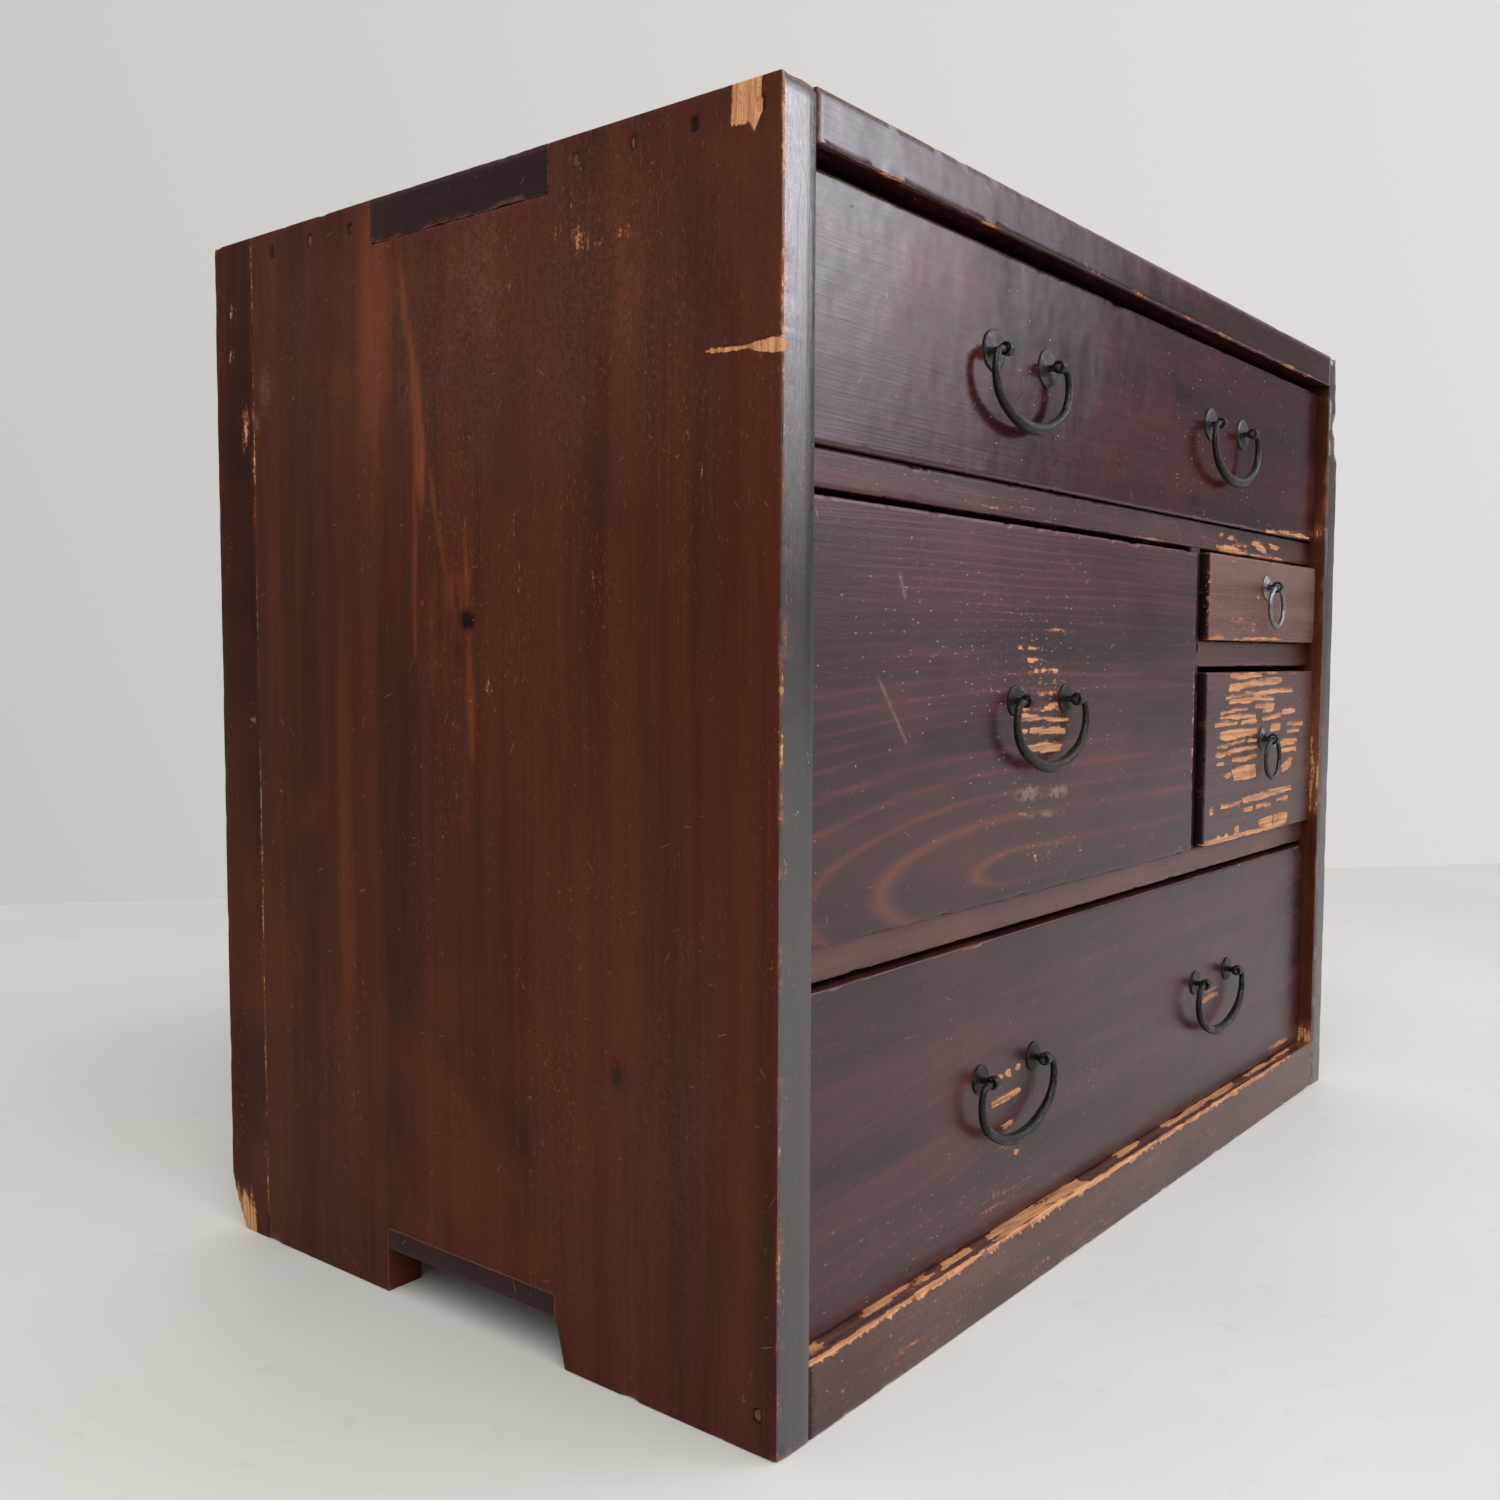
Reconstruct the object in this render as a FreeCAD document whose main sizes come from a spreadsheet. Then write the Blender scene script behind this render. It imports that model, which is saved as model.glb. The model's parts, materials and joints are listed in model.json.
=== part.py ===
import FreeCAD, Part
import math
import os
import re

# Small Japanese drawer chest (tansu): a case of solid boards held by wide through tenons and wooden
# pegs, with inset drawers that are drawn by iron bails and ring pulls.
# Frame: +Z up, the front faces -Y, +X is the front's right hand seen from the camera side.
# The origin is on the floor, under the middle of the case. Millimetres throughout.

doc = FreeCAD.newDocument("Tansu")
sheet = doc.addObject("Spreadsheet::Sheet", "Sizes")

SIZES = {
    # case boards
    "case_width": 570,
    "case_depth": 328,
    "case_height": 455,
    "side_thickness": 18,
    "rear_strip_width": 30,
    "top_thickness": 18,
    "bottom_thickness": 9,
    "back_thickness": 6,
    # openings and rails, hung from the top down; the lowest opening takes what height is left
    "top_opening": 95,
    "upper_rail_height": 14,
    "middle_opening": 159,
    "lower_rail_height": 13,
    "bottom_rail_height": 28,
    "bottom_rail_thickness": 18,
    "rail_recess": 10,
    "rail_depth": 40,
    "shelf_thickness": 8,
    "shelf_lap": 10,
    "housing_depth": 6,
    # column of two small drawers on the right
    "small_column_width": 176,
    "partition_thickness": 12,
    "partition_housing": 3,
    "small_upper_opening": 48.5,
    "small_rail_height": 14,
    # through tenons and the foot notch under the lower one
    "top_tenon_setback": 107,
    "top_tenon_width": 105,
    "bottom_tenon_setback": 107,
    "bottom_tenon_width": 102,
    "notch_flare": 5,
    # wooden pegs
    "peg_diameter": 5,
    "peg_length": 40,
    "peg_clearance": 0.05,
    "front_peg_setback": 9.5,
    "peg_gap_before_tenon": 13.5,
    "peg_gap_behind_tenon": 14,
    "peg_gap_before_seam": 16,
    # drawer boxes
    "drawer_front_thickness": 15,
    "drawer_lap": 6,
    "drawer_side_thickness": 8,
    "drawer_back_thickness": 8,
    "drawer_bottom_thickness": 5,
    "drawer_side_gap": 1.2,
    "drawer_run_gap": 0.3,
    "drawer_side_drop": 2,
    "drawer_back_gap": 2,
    "top_drawer_headroom": 4.5,
    "middle_drawer_headroom": 3,
    "small_upper_drawer_headroom": 2.2,
    "small_lower_drawer_headroom": 3,
    "bottom_drawer_headroom": 2.5,
    "top_drawer_recess": 6.5,
    "middle_drawer_recess": 6,
    "small_upper_drawer_recess": 5,
    "small_lower_drawer_recess": 5,
    "bottom_drawer_recess": 8,
    # bail handles, hung on eye posts
    "paired_handle_offset": 115,
    "bail_pivot_rise": 5,
    "pivot_standoff": 6,
    "post_spacing": 46,
    "bail_end_diameter": 3,
    "bail_middle_diameter": 5.4,
    "bail_tip": 4.5,
    "bail_reach": 4,
    "bail_bend_radius": 4,
    "bail_flare_angle": 20,
    "bail_side_radius": 15,
    "bail_side_angle": 55,
    # ring pulls
    "ring_pivot_rise": 8,
    "ring_diameter": 25,
    "ring_wire_diameter": 2.6,
    # eye posts and seat plates
    "eye_wall": 1.3,
    "bail_eye_width": 4,
    "ring_eye_width": 3,
    "bail_pin_clearance": 0.08,
    "ring_eye_clearance": 0.6,
    "shank_diameter": 3.2,
    "shank_clearance": 0.05,
    "clinch_length": 8,
    "clinch_width": 3,
    "clinch_thickness": 1.2,
    "top_plate_diameter": 17,
    "plain_plate_diameter": 13,
    "plate_thickness": 1,
    "dome_diameter": 14,
    "dome_crown_diameter": 7,
    "dome_height": 2,
}

# Places worked out from the sizes, each a formula in the names above or in other places.
PLACES = {
    "front": "-case_depth / 2",
    "rear": "case_depth / 2",
    "outside": "case_width / 2",
    "inside": "outside - side_thickness",
    "housed": "inside + housing_depth",
    "back_face": "rear - back_thickness",
    "strip_seam": "rear - rear_strip_width",
    "rail_face": "front + rail_recess",
    "rail_rear": "rail_face + rail_depth",
    "shelf_front": "rail_rear - shelf_lap",
    "top_low": "case_height - top_thickness",
    "upper_rail_top": "top_low - top_opening",
    "upper_rail_low": "upper_rail_top - upper_rail_height",
    "lower_rail_top": "upper_rail_low - middle_opening",
    "lower_rail_low": "lower_rail_top - lower_rail_height",
    "bottom_low": "bottom_rail_height - bottom_thickness",
    "top_tenon_end": "top_tenon_setback + top_tenon_width",
    "front_row_end": "top_tenon_setback - peg_gap_before_tenon",
    "rear_row_start": "top_tenon_end + peg_gap_behind_tenon",
    "rear_row_end": "case_depth - rear_strip_width - peg_gap_before_seam",
    "small_rail_top": "upper_rail_low - small_upper_opening",
    "small_rail_low": "small_rail_top - small_rail_height",
    "partition_right": "inside - small_column_width",
    "partition_left": "partition_right - partition_thickness",
    "back_seam": "(bottom_low + top_low) / 2",
    "drawer_length": "case_depth - rail_recess - back_thickness - drawer_back_gap",
    "ring_eye_bore": "ring_wire_diameter / 2 + ring_eye_clearance",
    "bail_eye_bore": "bail_end_diameter / 2 + bail_pin_clearance",
    "shank_bore": "shank_diameter / 2 + shank_clearance",
}

X_AXIS = FreeCAD.Vector(1, 0, 0)
Y_AXIS = FreeCAD.Vector(0, 1, 0)
Z_AXIS = FreeCAD.Vector(0, 0, 1)

nodes = {}


def fill_sheet():
    """Write each driving size to the sheet, with its name beside it as the alias."""
    for row, (name, value) in enumerate(SIZES.items(), start=1):
        sheet.set(f"A{row}", name)
        sheet.set(f"B{row}", str(value))
        sheet.setAlias(f"B{row}", name)
    doc.recompute()


def size(name):
    """Value of one driving size, read back from the sheet."""
    return float(sheet.get(name))


def formula(text):
    """Expression for the document: places become their formulas, sizes become sheet cells."""
    def swap(match):
        word = match.group(0)
        if word in PLACES:
            return f"({formula(PLACES[word])})"
        return f"Sizes.{word}"
    return re.sub(r"[a-z_]+", swap, text)


def settle(piece, x, y, z):
    """Bind a piece's position to formulas."""
    for axis, text in zip("xyz", (x, y, z)):
        piece.setExpression(f"Placement.Base.{axis}", formula(text))


def block(name, x, y, z):
    """Board between a low and a high formula on each axis."""
    board = doc.addObject("Part::Box", name)
    for side, (low, high) in zip(("Length", "Width", "Height"), (x, y, z)):
        board.setExpression(side, formula(f"({high}) - ({low})"))
    settle(board, x[0], y[0], z[0])
    return board


def rod(name, direction, start, length, radius):
    """Round bar from a start point along an axis."""
    bar = doc.addObject("Part::Cylinder", name)
    bar.setExpression("Radius", formula(radius))
    bar.setExpression("Height", formula(length))
    bar.Placement = FreeCAD.Placement(FreeCAD.Vector(), FreeCAD.Rotation(Z_AXIS, direction))
    settle(bar, *start)
    return bar


def join(name, pieces):
    """Several solids fused into one."""
    whole = doc.addObject("Part::MultiFuse", name)
    whole.Shapes = pieces
    whole.Refine = True
    return whole


def cut(name, base, tools):
    """Base with every tool taken out of it."""
    result = doc.addObject("Part::Cut", name)
    result.Base = base
    result.Tool = tools[0] if len(tools) == 1 else join(f"{name}_cutter", tools)
    result.Refine = True
    return result


def group(name, pieces):
    """Separate solids of one kind, kept together in one node."""
    bundle = doc.addObject("Part::Compound", name)
    bundle.Links = pieces
    return bundle


def node(label, piece):
    """Name a finished sub-part."""
    piece.Label = label
    nodes[label] = piece


def mirror_span(side, low, high):
    """Span of X between two distances from the middle, on the left (-1) or the right (+1)."""
    if side > 0:
        return (low, high)
    return (f"-({high})", f"-({low})")


def tenoned_board(name, y, z, setback, width):
    """Board between the case sides, with one wide tenon that runs through both of them."""
    field = block(f"{name}_field", ("-inside", "inside"), y, z)
    tenon_y = (f"front + {setback}", f"front + {setback} + {width}")
    tenon = block(f"{name}_tenon", ("-outside", "outside"), tenon_y, z)
    return join(f"{name}_blank", [field, tenon])


def shelf_and_rail(name, x, low, top):
    """Front rail with a rebate behind, and the thin shelf board that lies in it."""
    shelf = block(f"{name}_shelf", x, ("shelf_front", "back_face"), (f"{top} - shelf_thickness", top))
    blank = block(f"{name}_rail_blank", x, ("rail_face", "rail_rear"), (low, top))
    rail = cut(f"{name}_rail", blank, [shelf])
    node(f"{name}_shelf", shelf)
    node(f"{name}_rail", rail)
    return [blank, shelf]


def peg_places():
    """Distance behind the front and height of each peg on one side: a row before and behind the tenon."""
    top_height = "top_low + top_thickness / 2"
    rows = [("front_peg_setback", "front_row_end", 4), ("rear_row_start", "rear_row_end", 3)]
    places = [("bottom_rail_thickness / 2", "bottom_rail_height / 2")]
    for first, last, count in rows:
        spacing = f"({last} - {first}) / {count - 1}"
        places += [(f"{first} + {i} * {spacing}", top_height) for i in range(count)]
    return places


def build_pegs():
    """Pegs driven through the sides into the top board and the bottom rail, and their holes."""
    pegs = []
    holes = []
    for side, hand in ((-1, "left"), (1, "right")):
        start_x = mirror_span(side, "outside - peg_length", "outside")[0]
        for i, (setback, height) in enumerate(peg_places()):
            start = (start_x, f"front + {setback}", height)
            peg_name = f"{hand}_peg_{i}"
            pegs.append(rod(peg_name, X_AXIS, start, "peg_length", "peg_diameter / 2"))
            holes.append(
                rod(f"{peg_name}_hole", X_AXIS, start, "peg_length", "peg_diameter / 2 + peg_clearance")
            )
    node("wooden_pegs", group("wooden_pegs", pegs))
    return join("peg_holes", holes)


def foot_notch(name, x):
    """Opening between the two feet of a side: upright at the rear, leaning at the front."""
    notch = doc.addObject("Part::Wedge", name)
    wide = "bottom_tenon_width + notch_flare"
    limits = {
        "Xmin": "0", "X2min": "0", "Zmin": "0", "Z2min": "0", "Ymin": "0",
        "Xmax": "side_thickness", "X2max": "side_thickness",
        "Ymax": "bottom_low",
        "Zmax": wide, "Z2max": "bottom_tenon_width",
    }
    for limit, text in limits.items():
        notch.setExpression(limit, formula(text))
    notch.Placement = FreeCAD.Placement(FreeCAD.Vector(), FreeCAD.Rotation(Y_AXIS, Z_AXIS))
    settle(notch, x, "front + bottom_tenon_setback + bottom_tenon_width", "0")
    return notch


def build_case():
    """Sides with their rear strips, top, bottom, rails, shelves, partition and back."""
    peg_holes = build_pegs()
    top = tenoned_board(
        "top_board", ("front", "rear"), ("top_low", "case_height"), "top_tenon_setback", "top_tenon_width"
    )
    bottom = tenoned_board(
        "bottom_board", ("front + bottom_rail_thickness", "back_face"), ("bottom_low", "bottom_rail_height"),
        "bottom_tenon_setback", "bottom_tenon_width",
    )
    node("top_board", cut("top_board", top, [peg_holes]))
    node("bottom_board", bottom)
    foot_rail = block(
        "front_bottom_rail_blank", ("-inside", "inside"), ("front", "front + bottom_rail_thickness"),
        ("0", "bottom_rail_height"),
    )
    node("front_bottom_rail", cut("front_bottom_rail", foot_rail, [peg_holes]))

    full = ("-(housed)", "housed")
    lower = shelf_and_rail("lower", full, "lower_rail_low", "lower_rail_top")
    upper = shelf_and_rail("upper", full, "upper_rail_low", "upper_rail_top")
    small_span = ("partition_right - partition_housing", "housed")
    small = shelf_and_rail("small", small_span, "small_rail_low", "small_rail_top")

    partition = block(
        "partition_blank", ("partition_left", "partition_right"), ("rail_face", "back_face"),
        ("lower_rail_top", "upper_rail_top - shelf_thickness"),
    )
    node("partition", cut("partition", partition, [upper[0]] + small))

    for side, hand in ((-1, "left"), (1, "right")):
        housed = lower + upper + (small if side > 0 else [])
        x = mirror_span(side, "inside", "outside")
        board = block(f"{hand}_side_blank", x, ("front", "strip_seam"), ("0", "case_height"))
        tools = [top, bottom, foot_notch(f"{hand}_foot_notch", x[0]), peg_holes] + housed
        node(f"{hand}_side_board", cut(f"{hand}_side_board", board, tools))
        strip = block(f"{hand}_strip_blank", x, ("strip_seam", "rear"), ("0", "case_height"))
        node(f"{hand}_rear_strip", cut(f"{hand}_rear_strip", strip, housed))

    for part_name, z in (("lower", ("bottom_low", "back_seam")), ("upper", ("back_seam", "top_low"))):
        back = block(f"back_board_{part_name}", ("-inside", "inside"), ("back_face", "rear"), z)
        node(f"back_board_{part_name}", back)


def eye_post(name, x, face, z, width, bore):
    """Split pin: an eye in front of the drawer, a shank through it and two legs clenched behind."""
    pivot_y = f"{face} - pivot_standoff"
    inner = f"{face} + drawer_front_thickness"
    radius = f"{bore} + eye_wall"
    eye = rod(f"{name}_eye", X_AXIS, (f"{x} - {width} / 2", pivot_y, z), width, radius)
    length = "pivot_standoff + drawer_front_thickness + clinch_thickness"
    shank = rod(f"{name}_shank", Y_AXIS, (x, pivot_y, z), length, "shank_diameter / 2")
    legs = block(
        f"{name}_legs", (f"{x} - clinch_width / 2", f"{x} + clinch_width / 2"),
        (inner, f"{inner} + clinch_thickness"), (f"{z} - clinch_length", f"{z} + clinch_length"),
    )
    hole_start = (f"{x} - {width}", pivot_y, z)
    hole = rod(f"{name}_bore", X_AXIS, hole_start, f"2 * {width}", bore)
    return cut(name, join(f"{name}_solid", [eye, shank, legs]), [hole])


def shank_hole(name, x, face, z):
    """Hole for one shank, through the seat plate and the drawer front."""
    start = (x, f"{face} - pivot_standoff", z)
    return rod(name, Y_AXIS, start, "pivot_standoff + drawer_front_thickness", "shank_bore")


def seat_plate(name, x, face, z, diameter, hole):
    """Thin round plate between the eye and the drawer front."""
    disc = rod(
        f"{name}_disc", Y_AXIS, (x, f"{face} - plate_thickness", z), "plate_thickness", f"{diameter} / 2"
    )
    return cut(name, disc, [hole])


def domed_plate(name, x, face, z, hole):
    """Seat plate of a ring pull: a low cone with a flat crown."""
    dome = doc.addObject("Part::Cone", f"{name}_dome")
    dome.setExpression("Radius1", formula("dome_diameter / 2"))
    dome.setExpression("Radius2", formula("dome_crown_diameter / 2"))
    dome.setExpression("Height", formula("dome_height"))
    dome.Placement = FreeCAD.Placement(FreeCAD.Vector(), FreeCAD.Rotation(Z_AXIS, -Y_AXIS))
    settle(dome, x, face, z)
    return cut(name, dome, [hole])


def arc_point(start, radius, angle_from, angle_to):
    """Point after an arc. The heading is counted in degrees from straight down, inwards positive."""
    turn_from = math.radians(angle_from)
    turn_to = math.radians(angle_to)
    across = start.x - radius * (math.cos(turn_from) - math.cos(turn_to))
    up = start.z - radius * (math.sin(turn_to) - math.sin(turn_from))
    return FreeCAD.Vector(across, 0, up)


def arc_edge(start, radius, angle_from, angle_to):
    """Arc through three points, and the point where it ends."""
    middle = arc_point(start, radius, angle_from, (angle_from + angle_to) / 2)
    end = arc_point(start, radius, angle_from, angle_to)
    return Part.Arc(start, middle, end).toShape(), end


def mirrored(shape):
    """Copy of a shape on the other side of the handle's middle plane."""
    return shape.mirror(FreeCAD.Vector(), X_AXIS)


def bail_shape():
    """Bail about its pivot axis: a pin, a tight bend and a flared side to each hand, swelling to the middle."""
    end_radius = size("bail_end_diameter") / 2
    flare = -size("bail_flare_angle")
    side_angle = size("bail_side_angle")
    tip = FreeCAD.Vector(size("post_spacing") / 2 - size("bail_tip"), 0, 0)
    pin_length = size("bail_tip") + size("bail_reach")
    bend_start = tip + X_AXIS * pin_length
    bend, bend_end = arc_edge(bend_start, size("bail_bend_radius"), -90, flare)
    side, side_end = arc_edge(bend_end, size("bail_side_radius"), flare, side_angle)
    bottom_radius = side_end.x / math.cos(math.radians(side_angle))
    bottom, bottom_end = arc_edge(side_end, bottom_radius, side_angle, 90)

    pin = Part.makeCylinder(end_radius, pin_length, tip, X_AXIS)
    bend_ring = Part.Wire([Part.Circle(bend_start, X_AXIS, end_radius).toShape()])
    neck = Part.Wire([bend]).makePipeShell([bend_ring], True, True)
    down = FreeCAD.Vector(-math.sin(math.radians(flare)), 0, -math.cos(math.radians(flare)))
    thin_ring = Part.Wire([Part.Circle(bend_end, down, end_radius).toShape()])
    thick_ring = Part.Wire([Part.Circle(bottom_end, X_AXIS, size("bail_middle_diameter") / 2).toShape()])
    spine = Part.Wire([side, bottom])
    swell = spine.makePipeShell([thin_ring, thick_ring], True, False)
    half = pin.fuse([neck, swell])
    return half.fuse([mirrored(half)]).removeSplitter()


def bail(name, x, face, z):
    """One bail, hung at its pivot."""
    handle = doc.addObject("Part::Feature", name)
    handle.Shape = bail_shape()
    settle(handle, x, f"{face} - pivot_standoff", z)
    node(name, handle)


def ring_pull(name, x, face, z):
    """One round ring, hung by the top of its wire."""
    ring = doc.addObject("Part::Torus", name)
    ring.setExpression("Radius1", formula("(ring_diameter - ring_wire_diameter) / 2"))
    ring.setExpression("Radius2", formula("ring_wire_diameter / 2"))
    ring.Placement = FreeCAD.Placement(FreeCAD.Vector(), FreeCAD.Rotation(Z_AXIS, Y_AXIS))
    settle(ring, x, f"{face} - pivot_standoff", f"{z} - (ring_diameter - ring_wire_diameter) / 2")
    node(name, ring)


def drawer_box(name, x, z):
    """Sides, back and bottom of one drawer, and the blank of its front."""
    left = f"({x[0]} + drawer_side_gap)"
    right = f"({x[1]} - drawer_side_gap)"
    low = f"({z[0]} + drawer_run_gap)"
    high = f"({z[1]} - {name}_headroom)"
    face = f"(front + {name}_recess)"
    end = f"({face} + drawer_length)"
    floor = f"({low} + drawer_bottom_thickness)"
    rim = f"({high} - drawer_side_drop)"
    left_inner = f"({left} + drawer_side_thickness)"
    right_inner = f"({right} - drawer_side_thickness)"
    run = (f"{face} + drawer_lap", end)

    left_side = block(f"{name}_left_side", (left, left_inner), run, (floor, rim))
    right_side = block(f"{name}_right_side", (right_inner, right), run, (floor, rim))
    back = block(f"{name}_back", (left_inner, right_inner), (f"{end} - drawer_back_thickness", end), (floor, rim))
    bottom = block(f"{name}_bottom", (left, right), run, (low, floor))
    for board in (left_side, right_side, back, bottom):
        node(board.Name, board)
    front = block(f"{name}_front_blank", (left, right), (face, f"{face} + drawer_front_thickness"), (low, high))
    centre = (f"({left} + {right}) / 2", face, f"({low} + {high}) / 2")
    return front, [left_side, right_side, bottom], centre


def finish_drawer(name, front, tools, posts, plates):
    """Cut the laps and the shank holes out of the front, and name the metal pieces."""
    node(f"{name}_front", cut(f"{name}_front", front, tools))
    node(f"{name}_eye_posts", group(f"{name}_eye_posts", posts))
    node(f"{name}_seat_plates", group(f"{name}_seat_plates", plates))


def bail_drawer(name, x, z, handles, plate_diameter):
    """Drawer with one bail or more. handles gives each bail's name and its distance from the middle."""
    front, tools, (middle, face, centre) = drawer_box(name, x, z)
    pivot_z = f"({centre} + bail_pivot_rise)"
    posts = []
    plates = []
    for bail_name, offset in handles.items():
        bail(bail_name, f"{middle} + {offset}", face, pivot_z)
        for sign, hand in (("-", "left"), ("+", "right")):
            post_name = f"{bail_name}_{hand}_post"
            post_x = f"({middle} + {offset} {sign} post_spacing / 2)"
            hole = shank_hole(f"{post_name}_hole", post_x, face, pivot_z)
            tools.append(hole)
            posts.append(eye_post(post_name, post_x, face, pivot_z, "bail_eye_width", "bail_eye_bore"))
            plates.append(seat_plate(f"{post_name}_plate", post_x, face, pivot_z, plate_diameter, hole))
    finish_drawer(name, front, tools, posts, plates)


def ring_drawer(name, x, z, ring_name):
    """Small drawer with one ring pull on a domed plate."""
    front, tools, (middle, face, centre) = drawer_box(name, x, z)
    pivot_z = f"({centre} + ring_pivot_rise)"
    middle = f"({middle})"
    ring_pull(ring_name, middle, face, pivot_z)
    hole = shank_hole(f"{ring_name}_hole", middle, face, pivot_z)
    tools.append(hole)
    post = eye_post(f"{ring_name}_post", middle, face, pivot_z, "ring_eye_width", "ring_eye_bore")
    plate = domed_plate(f"{ring_name}_plate", middle, face, pivot_z, hole)
    finish_drawer(name, front, tools, [post], [plate])


def build_drawers():
    """Three wide rows: one drawer, then one beside two small ones, then one."""
    whole = ("-(inside)", "inside")
    column = ("partition_right", "inside")
    bail_drawer(
        "top_drawer", whole, ("upper_rail_top", "top_low"),
        {"top_left_bail": "-paired_handle_offset", "top_right_bail": "paired_handle_offset"},
        "top_plate_diameter",
    )
    bail_drawer(
        "middle_drawer", ("-(inside)", "partition_left"), ("lower_rail_top", "upper_rail_low"),
        {"middle_bail": "0"}, "plain_plate_diameter",
    )
    ring_drawer("small_upper_drawer", column, ("small_rail_top", "upper_rail_low"), "small_upper_ring")
    ring_drawer("small_lower_drawer", column, ("lower_rail_top", "small_rail_low"), "small_lower_ring")
    bail_drawer(
        "bottom_drawer", whole, ("bottom_rail_height", "lower_rail_low"),
        {"bottom_left_bail": "-paired_handle_offset", "bottom_right_bail": "paired_handle_offset"},
        "plain_plate_diameter",
    )


def check_document():
    """Stop if any object failed or any sub-part is empty or broken."""
    for item in doc.Objects:
        if "Invalid" in item.State or "Error" in item.State:
            raise RuntimeError(f"{item.Label} did not build: {item.State}")
    for label, piece in nodes.items():
        if piece.Shape.isNull() or not piece.Shape.isValid():
            raise RuntimeError(f"{label} has no valid shape")
        if not piece.Shape.Solids:
            raise RuntimeError(f"{label} has no solid")


def write_parts():
    """One STEP file for each sub-part."""
    os.makedirs("parts", exist_ok=True)
    for label, piece in nodes.items():
        piece.Shape.exportStep(f"parts/{label}.step")
        solids = len(piece.Shape.Solids)
        print(f"{label}: {solids} solid(s), {piece.Shape.Volume / 1000:.2f} cm3")


fill_sheet()
build_case()
build_drawers()
doc.recompute()
check_document()
write_parts()
print(f"{len(nodes)} sub-parts written")
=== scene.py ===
import itertools
import json
import math
from types import SimpleNamespace
import bpy
import numpy as np
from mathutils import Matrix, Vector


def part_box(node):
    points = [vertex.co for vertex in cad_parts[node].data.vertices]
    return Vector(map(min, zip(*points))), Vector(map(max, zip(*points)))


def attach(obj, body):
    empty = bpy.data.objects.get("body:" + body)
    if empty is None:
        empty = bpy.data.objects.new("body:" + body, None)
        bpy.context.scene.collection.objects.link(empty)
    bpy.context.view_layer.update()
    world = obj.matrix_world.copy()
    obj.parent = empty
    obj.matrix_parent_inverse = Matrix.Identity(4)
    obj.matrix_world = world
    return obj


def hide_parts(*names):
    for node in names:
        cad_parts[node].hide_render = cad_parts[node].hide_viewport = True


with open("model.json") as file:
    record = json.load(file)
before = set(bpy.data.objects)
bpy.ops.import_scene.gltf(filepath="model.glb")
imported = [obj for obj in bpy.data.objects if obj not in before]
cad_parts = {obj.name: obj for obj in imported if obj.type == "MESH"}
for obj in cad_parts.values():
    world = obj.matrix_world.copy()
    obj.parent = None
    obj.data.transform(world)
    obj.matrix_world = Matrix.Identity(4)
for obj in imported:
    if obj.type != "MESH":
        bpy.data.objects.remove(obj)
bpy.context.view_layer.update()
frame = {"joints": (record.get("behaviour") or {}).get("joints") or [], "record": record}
mm = 0.001  # grids and settings are in millimetres, meshes in metres


# Small helpers

def nodeBox(name):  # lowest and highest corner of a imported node
    lo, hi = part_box(name)
    return np.array(lo) / mm, np.array(hi) / mm


def bodyOf(node):  # the body of the record that a node belongs to
    groups = frame["record"]["behaviour"]["bodies"]
    return next(body for body, members in groups.items() if node in members)


leftX, frontY = nodeBox("left_side_board")[0][:2]
insideX = nodeBox("right_side_board")[0][0]  # inner face of the right side
rightX, topZ = nodeBox("right_side_board")[1][[0, 2]]
past = 999  # further out than any face
anywhere = (-past, past)


def fullTurn(count):  # even angles round a circle
    return np.linspace(0, 2 * math.pi, count, endpoint=False)


def softNoise(u, v, cell, seed, octaves=3):
    # value noise about 0: seeded numbers from -1 to 1 on a square lattice that repeats, eased between its
    # corners; each further octave is twice as fine and half as strong
    side = 64
    table = np.random.default_rng(seed).uniform(-1, 1, (side, side))
    total = np.zeros(np.broadcast(u, v).shape)
    for octave in range(octaves):
        a = np.broadcast_to(u, total.shape) / cell * 2 ** octave + 11.7 * octave
        b = np.broadcast_to(v, total.shape) / cell * 2 ** octave + 5.3 * octave
        i, j = np.floor(a).astype(int), np.floor(b).astype(int)
        s, t = a - i, b - j
        s, t = s * s * (3 - 2 * s), t * t * (3 - 2 * t)
        i, j, right, up = i % side, j % side, (i + 1) % side, (j + 1) % side
        low = table[i, j] * (1 - s) + table[right, j] * s
        high = table[i, up] * (1 - s) + table[right, up] * s
        total += (low * (1 - t) + high * t) * 0.5 ** octave
    return total


def strokeField(u, v, strokes, soft=1.4, tip=0.0):
    # each stroke is a bar from (u0, v0) to (u1, v1) of a width that shrinks by the share tip towards both
    # ends: 1 well inside any bar, 0.5 on its outline, 0 outside
    if not strokes:
        return np.zeros(len(u))
    bars = np.array(strokes, float)
    start, reach = bars[:, 0:2], bars[:, 2:4] - bars[:, 0:2]
    length = np.hypot(reach[:, 0], reach[:, 1]) + 1e-6
    heading = reach / length[:, None]
    du, dv = u[:, None] - start[:, 0], v[:, None] - start[:, 1]
    along = du * heading[:, 0] + dv * heading[:, 1]
    across = np.abs(dv * heading[:, 0] - du * heading[:, 1])
    half = bars[:, 4] / 2 * (1 - tip * held(np.abs(2 * along / length - 1)) ** 2)
    outside = np.maximum(np.abs(along - length / 2) - length / 2, across - half)
    return held(0.5 - outside / soft).max(axis=1)


def spotField(u, v, spots):
    # soft round hills: each spot is (u, v, radius in u, radius in v, height), the highest one counts
    if not spots:
        return np.zeros(len(u))
    hills = np.array(spots, float)
    reach = ((u[:, None] - hills[:, 0]) / hills[:, 2]) ** 2 + ((v[:, None] - hills[:, 1]) / hills[:, 3]) ** 2
    return (hills[:, 4] * np.exp(-reach)).max(axis=1)


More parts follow.
